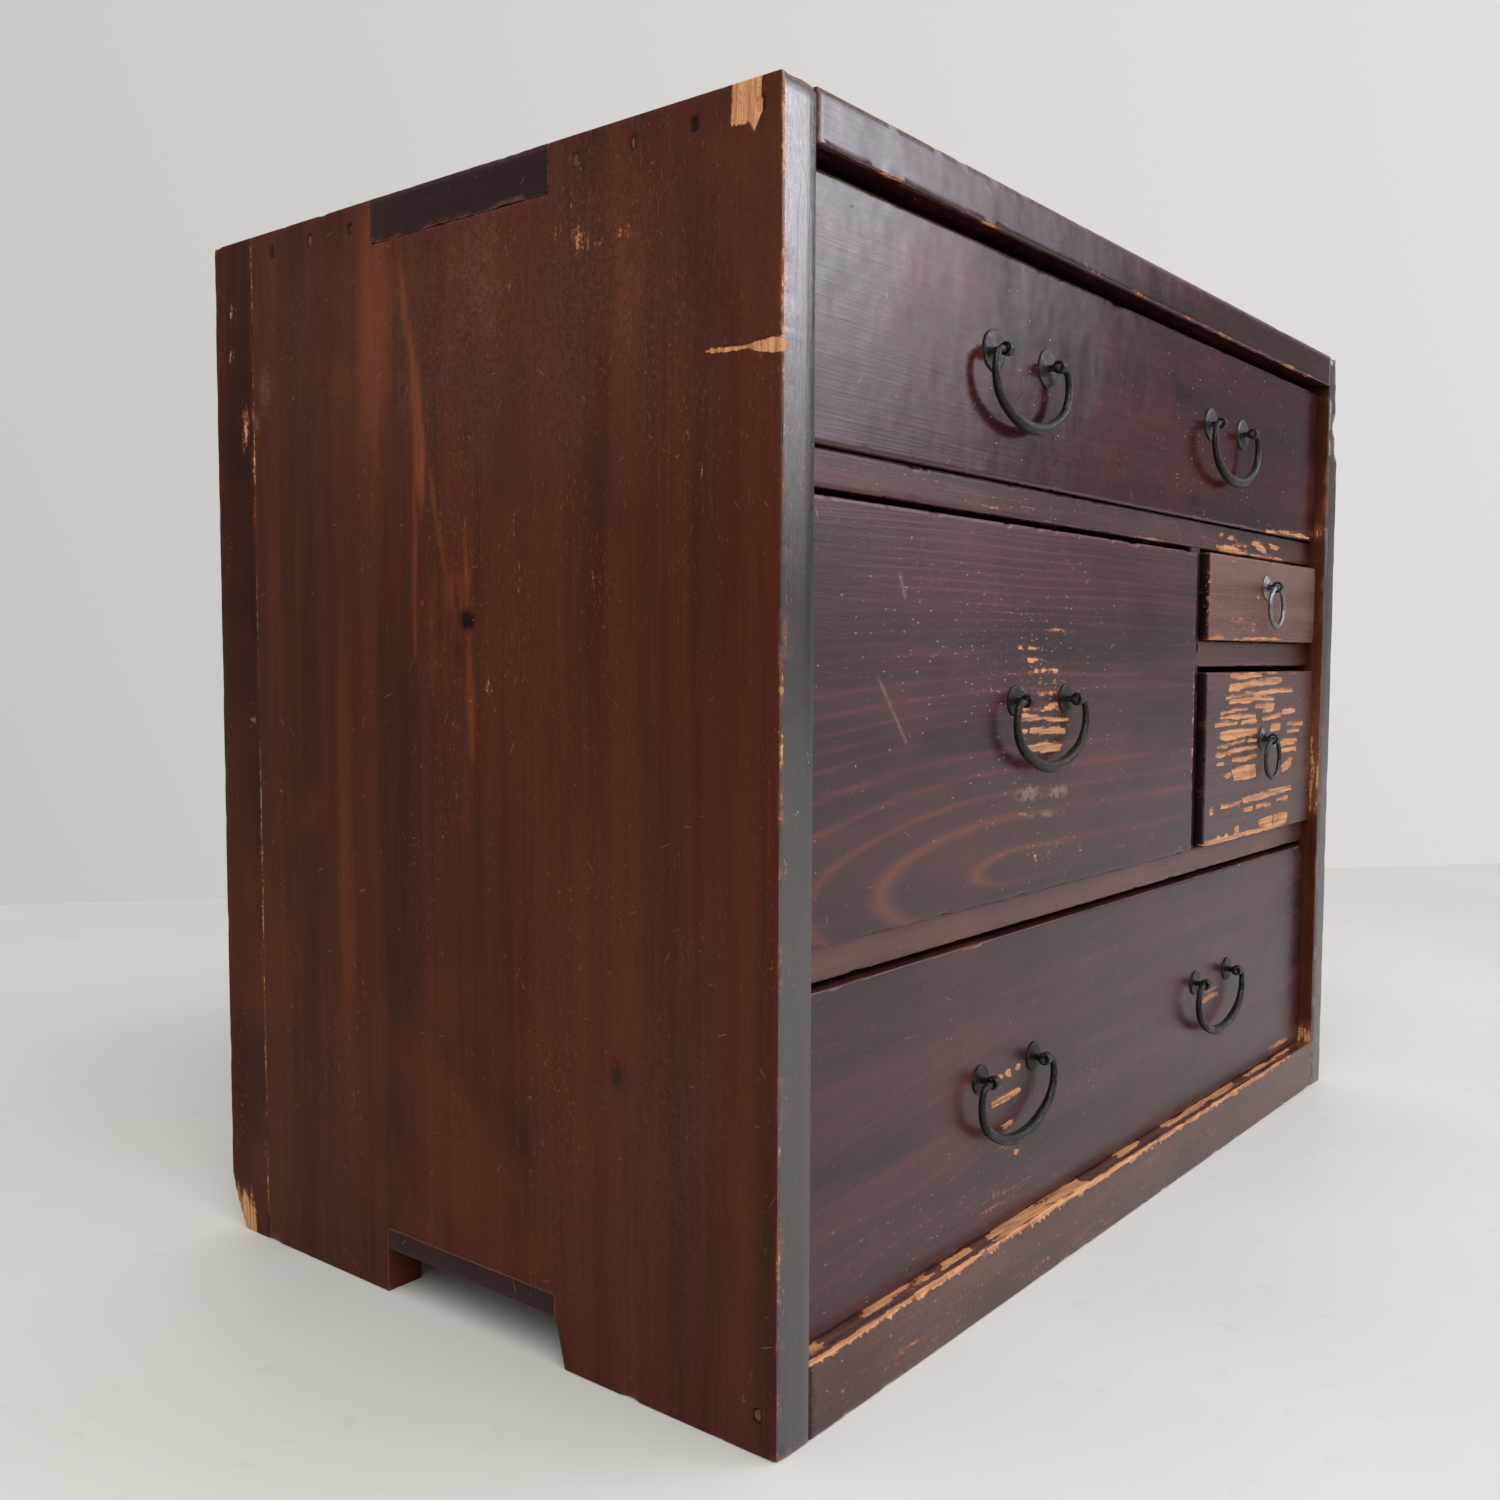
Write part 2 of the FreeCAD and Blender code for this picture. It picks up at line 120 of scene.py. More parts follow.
def held(value):  # a value held between 0 and 1
    return np.clip(value, 0, 1)


def ridge(u, middle, width):  # a soft line: 1 in its middle, fading over its width
    return np.exp(-((u - middle) / width) ** 2)


# Meshes

def show(name, data):  # a new object in the scene
    made = bpy.data.objects.new(name, data)
    bpy.context.scene.collection.objects.link(made)
    return made


def putMesh(node, points, faces, materials, slot, marks=None, tints=None, crease=38):
    # the piece of one node: its mesh, smooth up to the crease angle, its fields, its place in the frame
    mesh = bpy.data.meshes.new(node + "_skin")
    sizes = np.concatenate([np.full(len(f), f.shape[1]) for f in faces])
    mesh.vertices.add(len(points))
    mesh.vertices.foreach_set("co", np.ravel(points * mm))
    mesh.loops.add(int(sizes.sum()))
    mesh.loops.foreach_set("vertex_index", np.concatenate([np.ravel(f) for f in faces]))
    mesh.polygons.add(len(sizes))
    mesh.polygons.foreach_set("loop_start", np.concatenate([[0], np.cumsum(sizes)[:-1]]))
    for material in materials:
        mesh.materials.append(material)
    if tints is not None:
        mesh.polygons.foreach_set("material_index", tints.astype(np.int32))
    mesh.update(calc_edges=True)
    mesh.shade_smooth()
    mesh.set_sharp_from_angle(angle=math.radians(crease))
    for key, values in (marks or {}).items():
        layer = mesh.attributes.new(name=key, type="FLOAT", domain="POINT")
        layer.data.foreach_set("value", values.astype(np.float32))
    piece = show(node + "_skin", mesh)
    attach(piece, bodyOf(node))
    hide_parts(node)


def gridLines(marks, step, arris):
    # lines at the marks, one more an arris away on both sides of each, and even steps in between
    marks = np.unique(np.round(marks, 3))
    lines = [marks]
    for low, high in zip(marks[:-1], marks[1:]):
        rim = min(arris, (high - low) / 4)
        count = max(1, int(round((high - low - 2 * rim) / step)))
        lines.append(np.linspace(low + rim, high - rim, count + 1))
    return np.unique(np.round(np.concatenate(lines), 3))


def cellSkin(lines, keep):
    # a quad wherever a kept cell of the block meets an empty one, with the corners shared
    solid = np.pad(keep, 1).astype(int)
    corners = tuple(len(line) for line in lines)
    unit = np.eye(3, dtype=int)
    quads = []
    for axis in range(3):
        inner = tuple(slice(None) if a == axis else slice(1, -1) for a in range(3))
        change = np.diff(solid, axis=axis)[inner]
        one, two = unit[(axis + 1) % 3], unit[(axis + 2) % 3]
        for sign in (-1, 1):
            base = np.argwhere(change == sign)
            loop = [base, base + one, base + one + two, base + two][::-sign]
            quads.append(np.stack([np.ravel_multi_index(c.T, corners) for c in loop], 1))
    used, flat = np.unique(np.concatenate(quads), return_inverse=True)
    place = np.stack(np.unravel_index(used, corners), 1)
    points = np.stack([lines[a][place[:, a]] for a in range(3)], 1)
    count = np.zeros(len(used), int)
    lean = np.zeros((len(used), 3))
    for shift in itertools.product((0, 1), repeat=3):
        wood = solid[tuple((place + shift).T)]
        count += wood
        lean -= wood[:, None] * (2 * np.array(shift) - 1)
    return points, flat.reshape(-1, 4), np.sign(lean), count


def faceGap(points, lo, hi, face):  # how far inside a face such as "-y" each point lies
    axis = "xyz".index(face[1])
    return points[:, axis] - lo[axis] if face[0] == "-" else hi[axis] - points[:, axis]


def wearArris(points, lo, hi, pair, depth):
    # presses points near the edge of two faces back to a slanted plane that cuts off depth from each
    over = np.maximum(depth - sum(faceGap(points, lo, hi, face) for face in pair), 0) / 2
    for face in pair:
        points[:, "xyz".index(face[1])] += over if face[0] == "-" else -over
    return over


def edgePairs():  # the twelve edges of a board as pairs of faces
    names = [("-x", "+x"), ("-y", "+y"), ("-z", "+z")]
    for one, two in itertools.combinations(names, 2):
        yield from itertools.product(one, two)


def bite(points, pair, base, rise, cell, seed):
    # depth of wear along an edge: an even rub plus dents where a noise along the edge is high
    axis = ({0, 1, 2} - {"xyz".index(face[1]) for face in pair}).pop()
    wave = softNoise(points[:, axis], 0.37 * seed, cell, seed)
    return base + rise * np.maximum(wave - 0.3, 0) * 1.6


def boardSkin(lo, hi, step, arris, cutouts, fine):
    # a box less its cutouts; fine adds grid lines as (axis, place); an outer edge comes in by
    # 1 - 1 / sqrt(2) of the arris along both axes, a corner by 1 - 1 / sqrt(3) along all three
    lines = []
    for axis in range(3):
        marks = [lo[axis], hi[axis]] + [cut[axis][end] for cut in cutouts for end in (0, 1)]
        marks += [place for a, place in fine if a == axis]
        lines.append(gridLines(np.clip(marks, lo[axis], hi[axis]), step[axis], arris))
    middles = np.meshgrid(*[(line[:-1] + line[1:]) / 2 for line in lines], indexing="ij")
    keep = np.ones(middles[0].shape, bool)
    for cut in cutouts:
        keep &= ~np.all([(m > c[0]) & (m < c[1]) for m, c in zip(middles, cut)], axis=0)
    points, quads, lean, count = cellSkin(lines, keep)
    turn = np.abs(lean).sum(axis=1)
    inset = np.where(turn > 2, 0.42, 0.29) * (count <= 2)
    points = points - lean * (arris * inset)[:, None]
    return points, quads, (count <= 2).astype(float)


plainBoard = dict(arris=0.6, cutouts=(), fine=(), wear={}, rub=(0.2, 0.7, 9), showWear=2.5,
                  waver=0.12, waverCell=55)  # a rub is an even depth, a depth of dents and their length


def boardPiece(node, look, paint=None, tint=None):
    # board of one node: rounded box, worn edges, a shallow waver on its faces, then its painted fields
    look = {**plainBoard, **look}
    lo, hi = nodeBox(node)
    points, quads, worn = boardSkin(lo, hi, *[look[key] for key in ("step", "arris", "cutouts", "fine")])
    flat = points.copy()
    seed = sum(map(ord, node))
    for number, pair in enumerate(edgePairs()):
        rub = look["wear"].get("".join(pair), look["rub"])
        depth = rub(points) if callable(rub) else bite(points, pair, *rub, seed + number)
        pressed = wearArris(points, lo, hi, pair, depth)
        worn = np.maximum(worn, held(pressed * look["showWear"]))
    thin = int(np.argmin(hi - lo))
    u, v = [flat[:, a] for a in range(3) if a != thin]
    dip = look["waver"] * (0.5 + 0.5 * softNoise(u, v, look["waverCell"], seed + 40, 2))
    points[:, thin] += dip * np.sign((lo + hi)[thin] / 2 - points[:, thin])
    points = np.clip(points, lo, hi)
    fields = SimpleNamespace(**{key: np.zeros(len(points)) for key in ("bare", "stain", "scuff", "veil")})
    fields.ring = look["ring"](flat, seed)
    fields.worn = worn
    if paint:
        paint(points, flat, fields)
    tints = tint(points, quads) if tint else None
    putMesh(node, points, [quads], look["materials"], look["slot"], vars(fields), tints)


def outward(points, faces):
    # the volume between the faces and the origin is negative where they point inwards: those are turned
    volume = 0.0
    for face in faces:
        a, b, c = points[face[:, 0]], points[face[:, 1]], points[face[:, 2]]
        volume += np.einsum("ij,ij->i", a, np.cross(b, c)).sum()
        if face.shape[1] == 4:
            d = points[face[:, 3]]
            volume += np.einsum("ij,ij->i", a, np.cross(c, d)).sum()
    return faces if volume > 0 else [face[:, ::-1] for face in faces]


def loft(rings, first, last):
    # rings of points skinned with quads, and a fan of triangles to a point at both ends
    count, around = rings.shape[:2]
    points = np.concatenate([rings.reshape(-1, 3), [first, last]])
    index = np.arange(count * around).reshape(count, around)
    turned = np.roll(index, -1, axis=1)
    quads = np.stack([index[:-1], turned[:-1], turned[1:], index[1:]], -1).reshape(-1, 4)
    pole = np.full(around, count * around)
    fans = np.concatenate([np.stack([pole, turned[0], index[0]], -1),
                           np.stack([pole + 1, index[-1], turned[-1]], -1)])
    return points, outward(points, [quads, fans])


def travelled(path):  # distance along a path at each of its points
    return np.concatenate([[0], np.cumsum(np.linalg.norm(np.diff(path, axis=0), axis=1))])


def barAlong(path, side, half, around=18, power=2.0, dents=0.0, seed=1):
    # a section carried along a path in a plane: half gives its half sizes across the plane (side) and in it;
    # the section is |a|^power + |b|^power = 1, so 2 is round and 4 nearly square
    tangent = np.gradient(path, axis=0)
    tangent /= np.linalg.norm(tangent, axis=1)[:, None]
    normal = np.cross(side, tangent)
    turn = fullTurn(around)
    a = np.sign(np.cos(turn)) * np.abs(np.cos(turn)) ** (2 / power)
    b = np.sign(np.sin(turn)) * np.abs(np.sin(turn)) ** (2 / power)
    knock = 1 - dents * (0.5 + 0.5 * softNoise(travelled(path)[:, None], 3 * np.cos(turn), 4, seed, 2))
    rings = path[:, None] + (knock * half[:, :1] * a)[..., None] * side
    rings = rings + (knock * half[:, 1:] * b)[..., None] * normal[:, None]
    return loft(rings, path[0], path[-1])


def roundEnds(path, half, reach):
    # shrinks the section nearly to a point over the last reach of both ends, along a quarter ellipse
    travel = travelled(path)
    near = np.minimum(travel, travel[-1] - travel)
    swell = np.sqrt(np.clip(1 - (1 - held(near / reach)) ** 2, 0.0009, 1))
    return half * swell[:, None]


def gather(shapes):
    # several closed shapes as one mesh
    points, quads, fans, start = [], [], [], 0
    for shape, (four, three) in shapes:
        points.append(shape)
        quads.append(four + start)
        fans.append(three + start)
        start += len(shape)
    return np.concatenate(points), [np.concatenate(quads), np.concatenate(fans)]


# Material nodes; a socket knows its own node tree

def screen(r, g, b):  # an 8-bit screen colour as linear light
    value = np.array([r, g, b]) / 255
    light = np.where(value <= 0.04045, value / 12.92, ((value + 0.055) / 1.055) ** 2.4)
    return (*light.tolist(), 1.0)


def feed(socket, value):  # links an output, or sets a plain value on the socket
    if isinstance(value, bpy.types.NodeSocket):
        socket.id_data.links.new(value, socket)
    else:
        socket.default_value = value


def addNode(tree, kind, inputs=None, **settings):  # inputs by name or number, settings by attribute
    made = tree.nodes.new(kind)
    for key, value in settings.items():
        setattr(made, key, value)
    for key, value in (inputs or {}).items():
        feed(made.inputs[key], value)
    return made


def treeOf(*values):  # the node tree of the first socket among some values
    return next(value.id_data for value in values if isinstance(value, bpy.types.NodeSocket))


def calc(operation, *values):  # one step of arithmetic
    return addNode(treeOf(*values), "ShaderNodeMath", dict(enumerate(values)), operation=operation).outputs[0]


def times(*values):  # product of two or more
    product = values[0]
    for value in values[1:]:
        product = calc("MULTIPLY", product, value)
    return product


def scaled(value, share, base):  # value times share, plus base
    return calc("MULTIPLY_ADD", value, share, base)


def ease(value, low, high, bottom=0.0, top=1.0):  # smooth step from bottom at low to top at high
    inputs = {"Value": value, "From Min": low, "From Max": high, "To Min": bottom, "To Max": top}
    return addNode(treeOf(value), "ShaderNodeMapRange", inputs, interpolation_type="SMOOTHSTEP").outputs[0]


def blend(amount, low, high):  # colour low at amount 0, high at amount 1
    return addNode(treeOf(amount), "ShaderNodeMix", {0: amount, 6: low, 7: high}, data_type="RGBA").outputs[2]


def coats(tone, layers):  # colours laid over a tone one after another, each by its own amount
    for amount, colour in layers:
        tone = blend(amount, tone, colour)
    return tone


def painted(place, name):  # one of the fields stored on the mesh
    return addNode(treeOf(place), "ShaderNodeAttribute", attribute_name=name).outputs["Fac"]


def grain(place, scales, detail=4.0, roughness=0.6):
    # noise whose cells are 1 / scales metres long in each direction
    spot = addNode(treeOf(place), "ShaderNodeMapping", {"Vector": place, "Scale": scales}).outputs[0]
    inputs = {"Vector": spot, "Scale": 1.0, "Detail": detail, "Roughness": roughness}
    return addNode(treeOf(place), "ShaderNodeTexNoise", inputs).outputs["Fac"]


def along(axis, slow, fast):  # scales of a grain that runs along one axis
    return tuple(slow if name == axis else fast for name in "xyz")


def flecks(place, size, near, chance, turn=(0, 0, 0)):
    # small marks: ellipsoids in Voronoi cells of that size (metres, turned), kept in a share of the cells,
    # each of its own strength
    tree = treeOf(place)
    spot = addNode(tree, "ShaderNodeMapping", {"Vector": place, "Scale": size, "Rotation": turn},
                   vector_type="TEXTURE").outputs[0]
    cells = addNode(tree, "ShaderNodeTexVoronoi", {"Vector": spot, "Scale": 1.0})
    draw = addNode(tree, "ShaderNodeSeparateColor", {0: cells.outputs["Color"]}).outputs
    inside = ease(cells.outputs["Distance"], near, near * 0.5)
    return times(inside, times(calc("LESS_THAN", draw[0], chance), ease(draw[1], 0, 1, 0.3, 1)))


def scratches(place, axis, chance):
    # four sets of short thin lines, each turned its own way in the plane of the face
    total = 0.0
    for number, angle in enumerate((0.5, 1.2, -0.75, 1.5)):
        turn = (0, angle, 0) if axis == "x" else (angle, 0, 0)
        size = along(axis, 0.016 - 0.003 * number, 0.001)
        total = calc("MAXIMUM", total, flecks(place, size, 0.26, chance, turn))
    return total


def newSurface(name, **sockets):  # a new material, its shader and its place on the piece
    material = bpy.data.materials.new(name)
    material.use_nodes = True
    shader = material.node_tree.nodes["Principled BSDF"]
    for key, value in sockets.items():
        shader.inputs[key.replace("_", " ")].default_value = value
    place = addNode(material.node_tree, "ShaderNodeTexCoord").outputs["Object"]
    return material, shader, place


def dress(shader, tone, rough, height, strength=0.5, depth=0.0004):  # colour, gloss and relief
    feed(shader.inputs["Base Color"], tone)
    feed(shader.inputs["Roughness"], rough)
    inputs = {"Height": height, "Strength": strength, "Distance": depth}
    feed(shader.inputs["Normal"], addNode(shader.id_data, "ShaderNodeBump", inputs).outputs[0])


# Finishes; colours are 8-bit screen values

def lacquerFinish(name, finish, **changes):
    # stained and lacquered softwood: soft bands and growth lines under the film, fibres, rubbed edges, bare
    # wood where the painted field bare passes a torn border, nicks, specks, scratches, dark or orange stains
    settings = {**finish, **changes}
    look = SimpleNamespace(**{k: screen(*v) if isinstance(v, tuple) else v for k, v in settings.items()})
    material, shader, place = newSurface(name, Specular_IOR_Level=look.gloss)
    axis = look.axis
    fibre = grain(place, along(axis, 20, 820), 5, 0.65)
    streak = grain(place, along(axis, 2.2, 46), 4, 0.6)
    shred = grain(place, along(axis, 45, 420), 3, 0.6)
    patch = grain(place, along(axis, 8, 30), 5, 0.62)
    cloud = grain(place, (9, 9, 9), 4)
    nick = grain(place, (300, 300, 300), 4, 0.7)
    crumb = grain(place, (620, 620, 620), 3, 0.6)
    stain, scuff = painted(place, "stain"), painted(place, "scuff")
    year = calc("FRACT", painted(place, "ring"))
    late = times(ease(year, 0.3, 0.5), ease(year, 0.74, 0.52), ease(streak, 0.34, 0.6, 0.12, 1),
                 ease(patch, 0.36, 0.58, 0.35, 1))
    # dashes run with the grain where the film is thin, chips and specks are pale dots, scuff crowds them all
    crowd = scaled(ease(patch, 0.5, 0.68), look.rubs, times(scuff, ease(patch, 0.4, 0.6, 0.06, 0.42)))
    dash = calc("MAXIMUM", flecks(place, along(axis, 0.0048, 0.0008), 0.34, crowd),
                flecks(place, along(axis, 0.0022, 0.0007), 0.36, crowd))
    chip = times(ease(nick, 0.64, 0.7), ease(patch, 0.45, 0.62, 0.1, 1))
    rows = times(scuff, scaled(late, 1.4, 0.3))
    speck = calc("MAXIMUM", flecks(place, (0.006, 0.006, 0.006), 0.08, 0.2),
                 flecks(place, along(axis, 0.0045, 0.0018), 0.25, rows))
    lines = scratches(place, axis, look.cuts)
    veil = times(painted(place, "veil"), ease(crumb, 0.36, 0.6, 0.35, 1))
    # the film goes reddish at rubbed edges, then through to the wood
    torn = scaled(fibre, 0.5, times(shred, 1.2))
    torn = scaled(calc("SUBTRACT", crumb, 0.5), 0.8, torn)
    worn = times(painted(place, "worn"), ease(torn, 0.6, 1))
    bare = calc("ADD", painted(place, "bare"), calc("SUBTRACT", torn, 0.85))
    through = ease(bare, 0.48, 0.62)
    woodTone = coats(blend(ease(fibre, 0.34, 0.66), look.woodDark, look.wood), [
        (ease(shred, 0.55, 0.35, 0, 0.5), look.rubbed), (ease(crumb, 0.58, 0.7, 0, 0.5), look.rubbed)])
    tone = coats(blend(ease(streak, 0.34, 0.64), look.deep, look.mid), [
        (ease(cloud, 0.5, 0.7, 0, 0.5), look.warm),
        (ease(patch, 0.48, 0.3, 0, look.mottle), look.deep),
        (times(late, look.lines), look.line),
        (ease(fibre, 0.5, 0.74, 0, look.fibre), look.warm),
        (ease(fibre, 0.46, 0.28, 0, look.fibre), look.deep),
        (ease(stain, 0.05, 1), look.orange), (ease(stain, -0.05, -1), look.black),
        (veil, look.veil), (times(dash, look.dashes), look.dash), (times(chip, look.chips), look.chip),
        (times(lines, look.hair), look.dust), (times(speck, look.specks), look.dust),
        (times(worn, look.edge), look.rubbed), (ease(bare, 0.34, 0.5), look.rubbed), (through, woodTone)])
    rough = scaled(fibre, 0.1, scaled(calc("SUBTRACT", cloud, 0.45), look.dulling, look.rough))
    dull = calc("MAXIMUM", through, calc("MAXIMUM", speck, veil))
    rough = addNode(treeOf(place), "ShaderNodeMix", {0: dull, 2: rough, 3: 0.72}).outputs[0]
    height = scaled(fibre, look.relief, times(late, 0.05))
    height = scaled(cloud, look.wave, scaled(nick, look.peel, height))
    height = calc("SUBTRACT", calc("SUBTRACT", height, times(through, 0.5)), times(dash, 0.2))
    dress(shader, tone, rough, height)
    return material


def cedarFinish(name, axis, *colours):
    # unfinished old cedar: growth lines, fibres, greyed patches
    pale, deep, grey = [screen(*colour) for colour in colours]
    material, shader, place = newSurface(name, Specular_IOR_Level=0.25)
    fibre = grain(place, along(axis, 20, 700), 5, 0.65)
    streak = grain(place, along(axis, 3, 90), 4, 0.6)
    cloud = grain(place, (8, 8, 8), 4)
    year = calc("FRACT", painted(place, "ring"))
    late = times(ease(year, 0.5, 0.92), ease(year, 0.95, 1, 1, 0))
    tone = coats(blend(ease(streak, 0.32, 0.7, 0.35, 1), deep, pale), [
        (times(late, 0.7), deep), (ease(fibre, 0.5, 0.3, 0, 0.4), deep),
        (ease(cloud, 0.48, 0.72, 0, 0.6), grey), (times(painted(place, "worn"), 0.5), pale)])
    height = calc("ADD", times(fibre, 0.6), times(late, 0.4))
    dress(shader, tone, ease(fibre, 0.2, 0.8, 0.6, 0.85), height)
    return material


def metalFinish(name, *colours, metal, rough, rusty):
    # hand-forged metal: rubbed high spots, rust in patches, small hammer dimples
    base, worn, rust = [screen(*colour) for colour in colours]
    material, shader, place = newSurface(name, Metallic=metal, Specular_IOR_Level=0.5)
    patch = grain(place, (160, 160, 160), 4, 0.6)
    pit = grain(place, (900, 900, 900), 3, 0.6)
    tone = coats(blend(ease(pit, 0.45, 0.75), base, worn), [(times(ease(patch, 0.5, 0.68), rusty), rust)])
    gloss = ease(patch, 0.3, 0.7, rough - 0.08, rough + 0.2)
    dress(shader, tone, gloss, calc("ADD", pit, patch), 0.35, 0.0003)
    return material


woodTones = dict(wood=(212, 158, 112), woodDark=(170, 116, 76), rubbed=(120, 68, 46), black=(22, 13, 12),
                 dust=(190, 178, 172))
sideFinish = dict(
    axis="z", gloss=0.06, rough=0.44, dulling=0.3, relief=0.4, peel=0.15, wave=0.5, lines=0.15, fibre=0.35,
    mottle=0.3, rubs=0.15, dashes=0.38, chips=0.4, cuts=0.002, specks=0.45, hair=0.18, edge=0.8,
    deep=(57, 27, 20), mid=(78, 37, 25), warm=(96, 47, 31), line=(56, 25, 18), orange=(126, 62, 37),
    dash=(150, 88, 58), chip=(158, 112, 88), veil=(112, 76, 66), **woodTones)
frontFinish = dict(
    axis="x", gloss=0.42, rough=0.22, dulling=0.3, relief=0.35, peel=0.3, wave=3.0, lines=0.44, fibre=0.35,
    mottle=0.5, rubs=0.05, dashes=0.4, chips=0.3, cuts=0.004, specks=0.5, hair=0.3, edge=0.7,
    deep=(37, 20, 20), mid=(62, 33, 34), warm=(80, 41, 37), line=(112, 52, 42), orange=(128, 70, 44),
    dash=(116, 76, 60), chip=(150, 112, 90), veil=(150, 128, 116), **woodTones)
railFinish = dict(frontFinish, lines=0.14, gloss=0.4, chips=0.6)
sideLacquer = lacquerFinish("side_lacquer", sideFinish)
frontLacquer = lacquerFinish("front_lacquer", frontFinish, specks=0.8, hair=0.5, cuts=0.006)
softLacquer = lacquerFinish("soft_lacquer", frontFinish, lines=0.2)
endLacquer = lacquerFinish("end_lacquer", sideFinish, axis="y", gloss=0.14, dashes=0.2, deep=(36, 20, 20),
                           mid=(48, 28, 27), warm=(56, 33, 31))
evenLacquer = lacquerFinish("even_lacquer", frontFinish, lines=0.12, rough=0.06, wave=6.0, mottle=0.7,
                            gloss=0.4, dulling=0.12, relief=0.4, peel=0.15, deep=(34, 17, 18),
                            mid=(56, 29, 31), warm=(92, 36, 31))
topLacquer = lacquerFinish("top_lacquer", frontFinish, lines=0.2, rough=0.42, dulling=0.25, wave=1.0,
                           mottle=0.6, gloss=0.3, relief=0.4, peel=0.06)
dimLacquer = lacquerFinish("dim_lacquer", frontFinish, lines=0.3, deep=(56, 36, 34), mid=(80, 54, 51),
                           warm=(98, 66, 58))
paleLacquer = lacquerFinish("pale_lacquer", frontFinish, lines=0.1, gloss=0.34, chips=0.7, rubs=0.12,
                            deep=(94, 64, 58), mid=(118, 86, 78), warm=(134, 100, 88))
railLacquer = lacquerFinish("rail_lacquer", railFinish, deep=(50, 28, 25), mid=(74, 43, 37),
                            warm=(92, 54, 43))
lowRailLacquer = lacquerFinish("low_rail_lacquer", railFinish, deep=(72, 42, 38), mid=(100, 62, 55),
                               warm=(118, 76, 64))
uprightLacquer = lacquerFinish("upright_lacquer", frontFinish, axis="z", gloss=1.0, rough=0.09,
                               dulling=0.12, relief=0.7, peel=0.25, wave=1.0, deep=(24, 15, 16),
                               mid=(38, 23, 24), warm=(52, 29, 27))
partitionLacquer = lacquerFinish("partition_lacquer", frontFinish, axis="z", gloss=0.2, rough=0.4)
cedarTones = ((176, 132, 90), (126, 86, 54), (112, 92, 74))
cedarWide = cedarFinish("cedar_wide", "x", *cedarTones)
cedarDeep = cedarFinish("cedar_deep", "y", *cedarTones)
cedarBack = cedarFinish("cedar_back", "x", (122, 86, 58), (82, 54, 36), (74, 60, 50))
pegWood = cedarFinish("peg_wood", "x", (128, 86, 60), (66, 38, 26), (76, 48, 36))
blackIron = metalFinish("black_iron", (34, 32, 31), (72, 68, 64), (60, 40, 30),
                        metal=0.7, rough=0.33, rusty=0.4)
paleSteel = metalFinish("pale_steel", (112, 114, 118), (166, 168, 170), (104, 92, 76),
                        metal=0.9, rough=0.28, rusty=0.25)
greySteel = metalFinish("grey_steel", (60, 58, 60), (104, 102, 103), (66, 54, 47),
                        metal=0.85, rough=0.34, rusty=0.3)
print("finishes:", len(bpy.data.materials))


# Growth fields, in rings

def unevenYears(rings, seed):  # good and poor years: the count drifts by up to 0.4 of a ring
    return rings + 0.4 * softNoise(rings, 0.5, 2.6, seed + 3, 2)


def plainRings(axis, pitch, slant=0.0, sway=6.0, run="x"):
    # rings cross the board along one axis, a pitch apart, slanted a little and swaying along the board's run
    def field(points, seed):
        across, other = points[:, "xyz".index(axis)], points[:, "xyz".index(run)]
        wide = softNoise(other / 6, across, 24, seed + 7, 2)
        depth = points[:, 0 if run == "y" else 1]
        return unevenYears((across + slant * other + sway * wide) / pitch + 0.05 * depth, seed)
    return field


def tongueRings(middle, flat, spread, tighten):
    # flat-sawn figure: level lines to the right of the middle, half ellipses to its left, closer further out
    def field(points, seed):
        rise = points[:, 2] - middle[1] + 1.5 * softNoise(points[:, 0] / 4, points[:, 2], 30, seed, 2)
        out = np.hypot(rise, flat * np.maximum(middle[0] - points[:, 0], 0))
        return unevenYears(tighten / spread * (np.exp(out / tighten) - 1) - 0.4, seed)
    return field


# Second and third finishes of a board

def faceMiddles(points, quads, axis):  # middle of each face along one axis
    return points[quads][:, :, axis].mean(axis=1)


def looksAlong(points, quads, axis):  # faces that look mostly along one axis
    corner = points[quads]
    normal = np.cross(corner[:, 2] - corner[:, 0], corner[:, 3] - corner[:, 1])
    return np.abs(normal[:, axis]) > 0.75 * np.linalg.norm(normal, axis=1)


def frontAndRest(points, quads):  # second finish on the front edge
    return (faceMiddles(points, quads, 1) < points[:, 1].min() + 0.8).astype(int)


def endsAndRest(points, quads):  # second finish on faces that look sideways
    return looksAlong(points, quads, 0).astype(int)


def topTint(points, quads):  # second finish on the ends, third on the upper face
    upper = looksAlong(points, quads, 2) & (faceMiddles(points, quads, 2) > points[:, 2].max() - 1)
    return np.where(upper, 2, endsAndRest(points, quads))


# Case sides; a mark is a stroke (from, to, width) or a spot (middle, radii, height) on the outer face

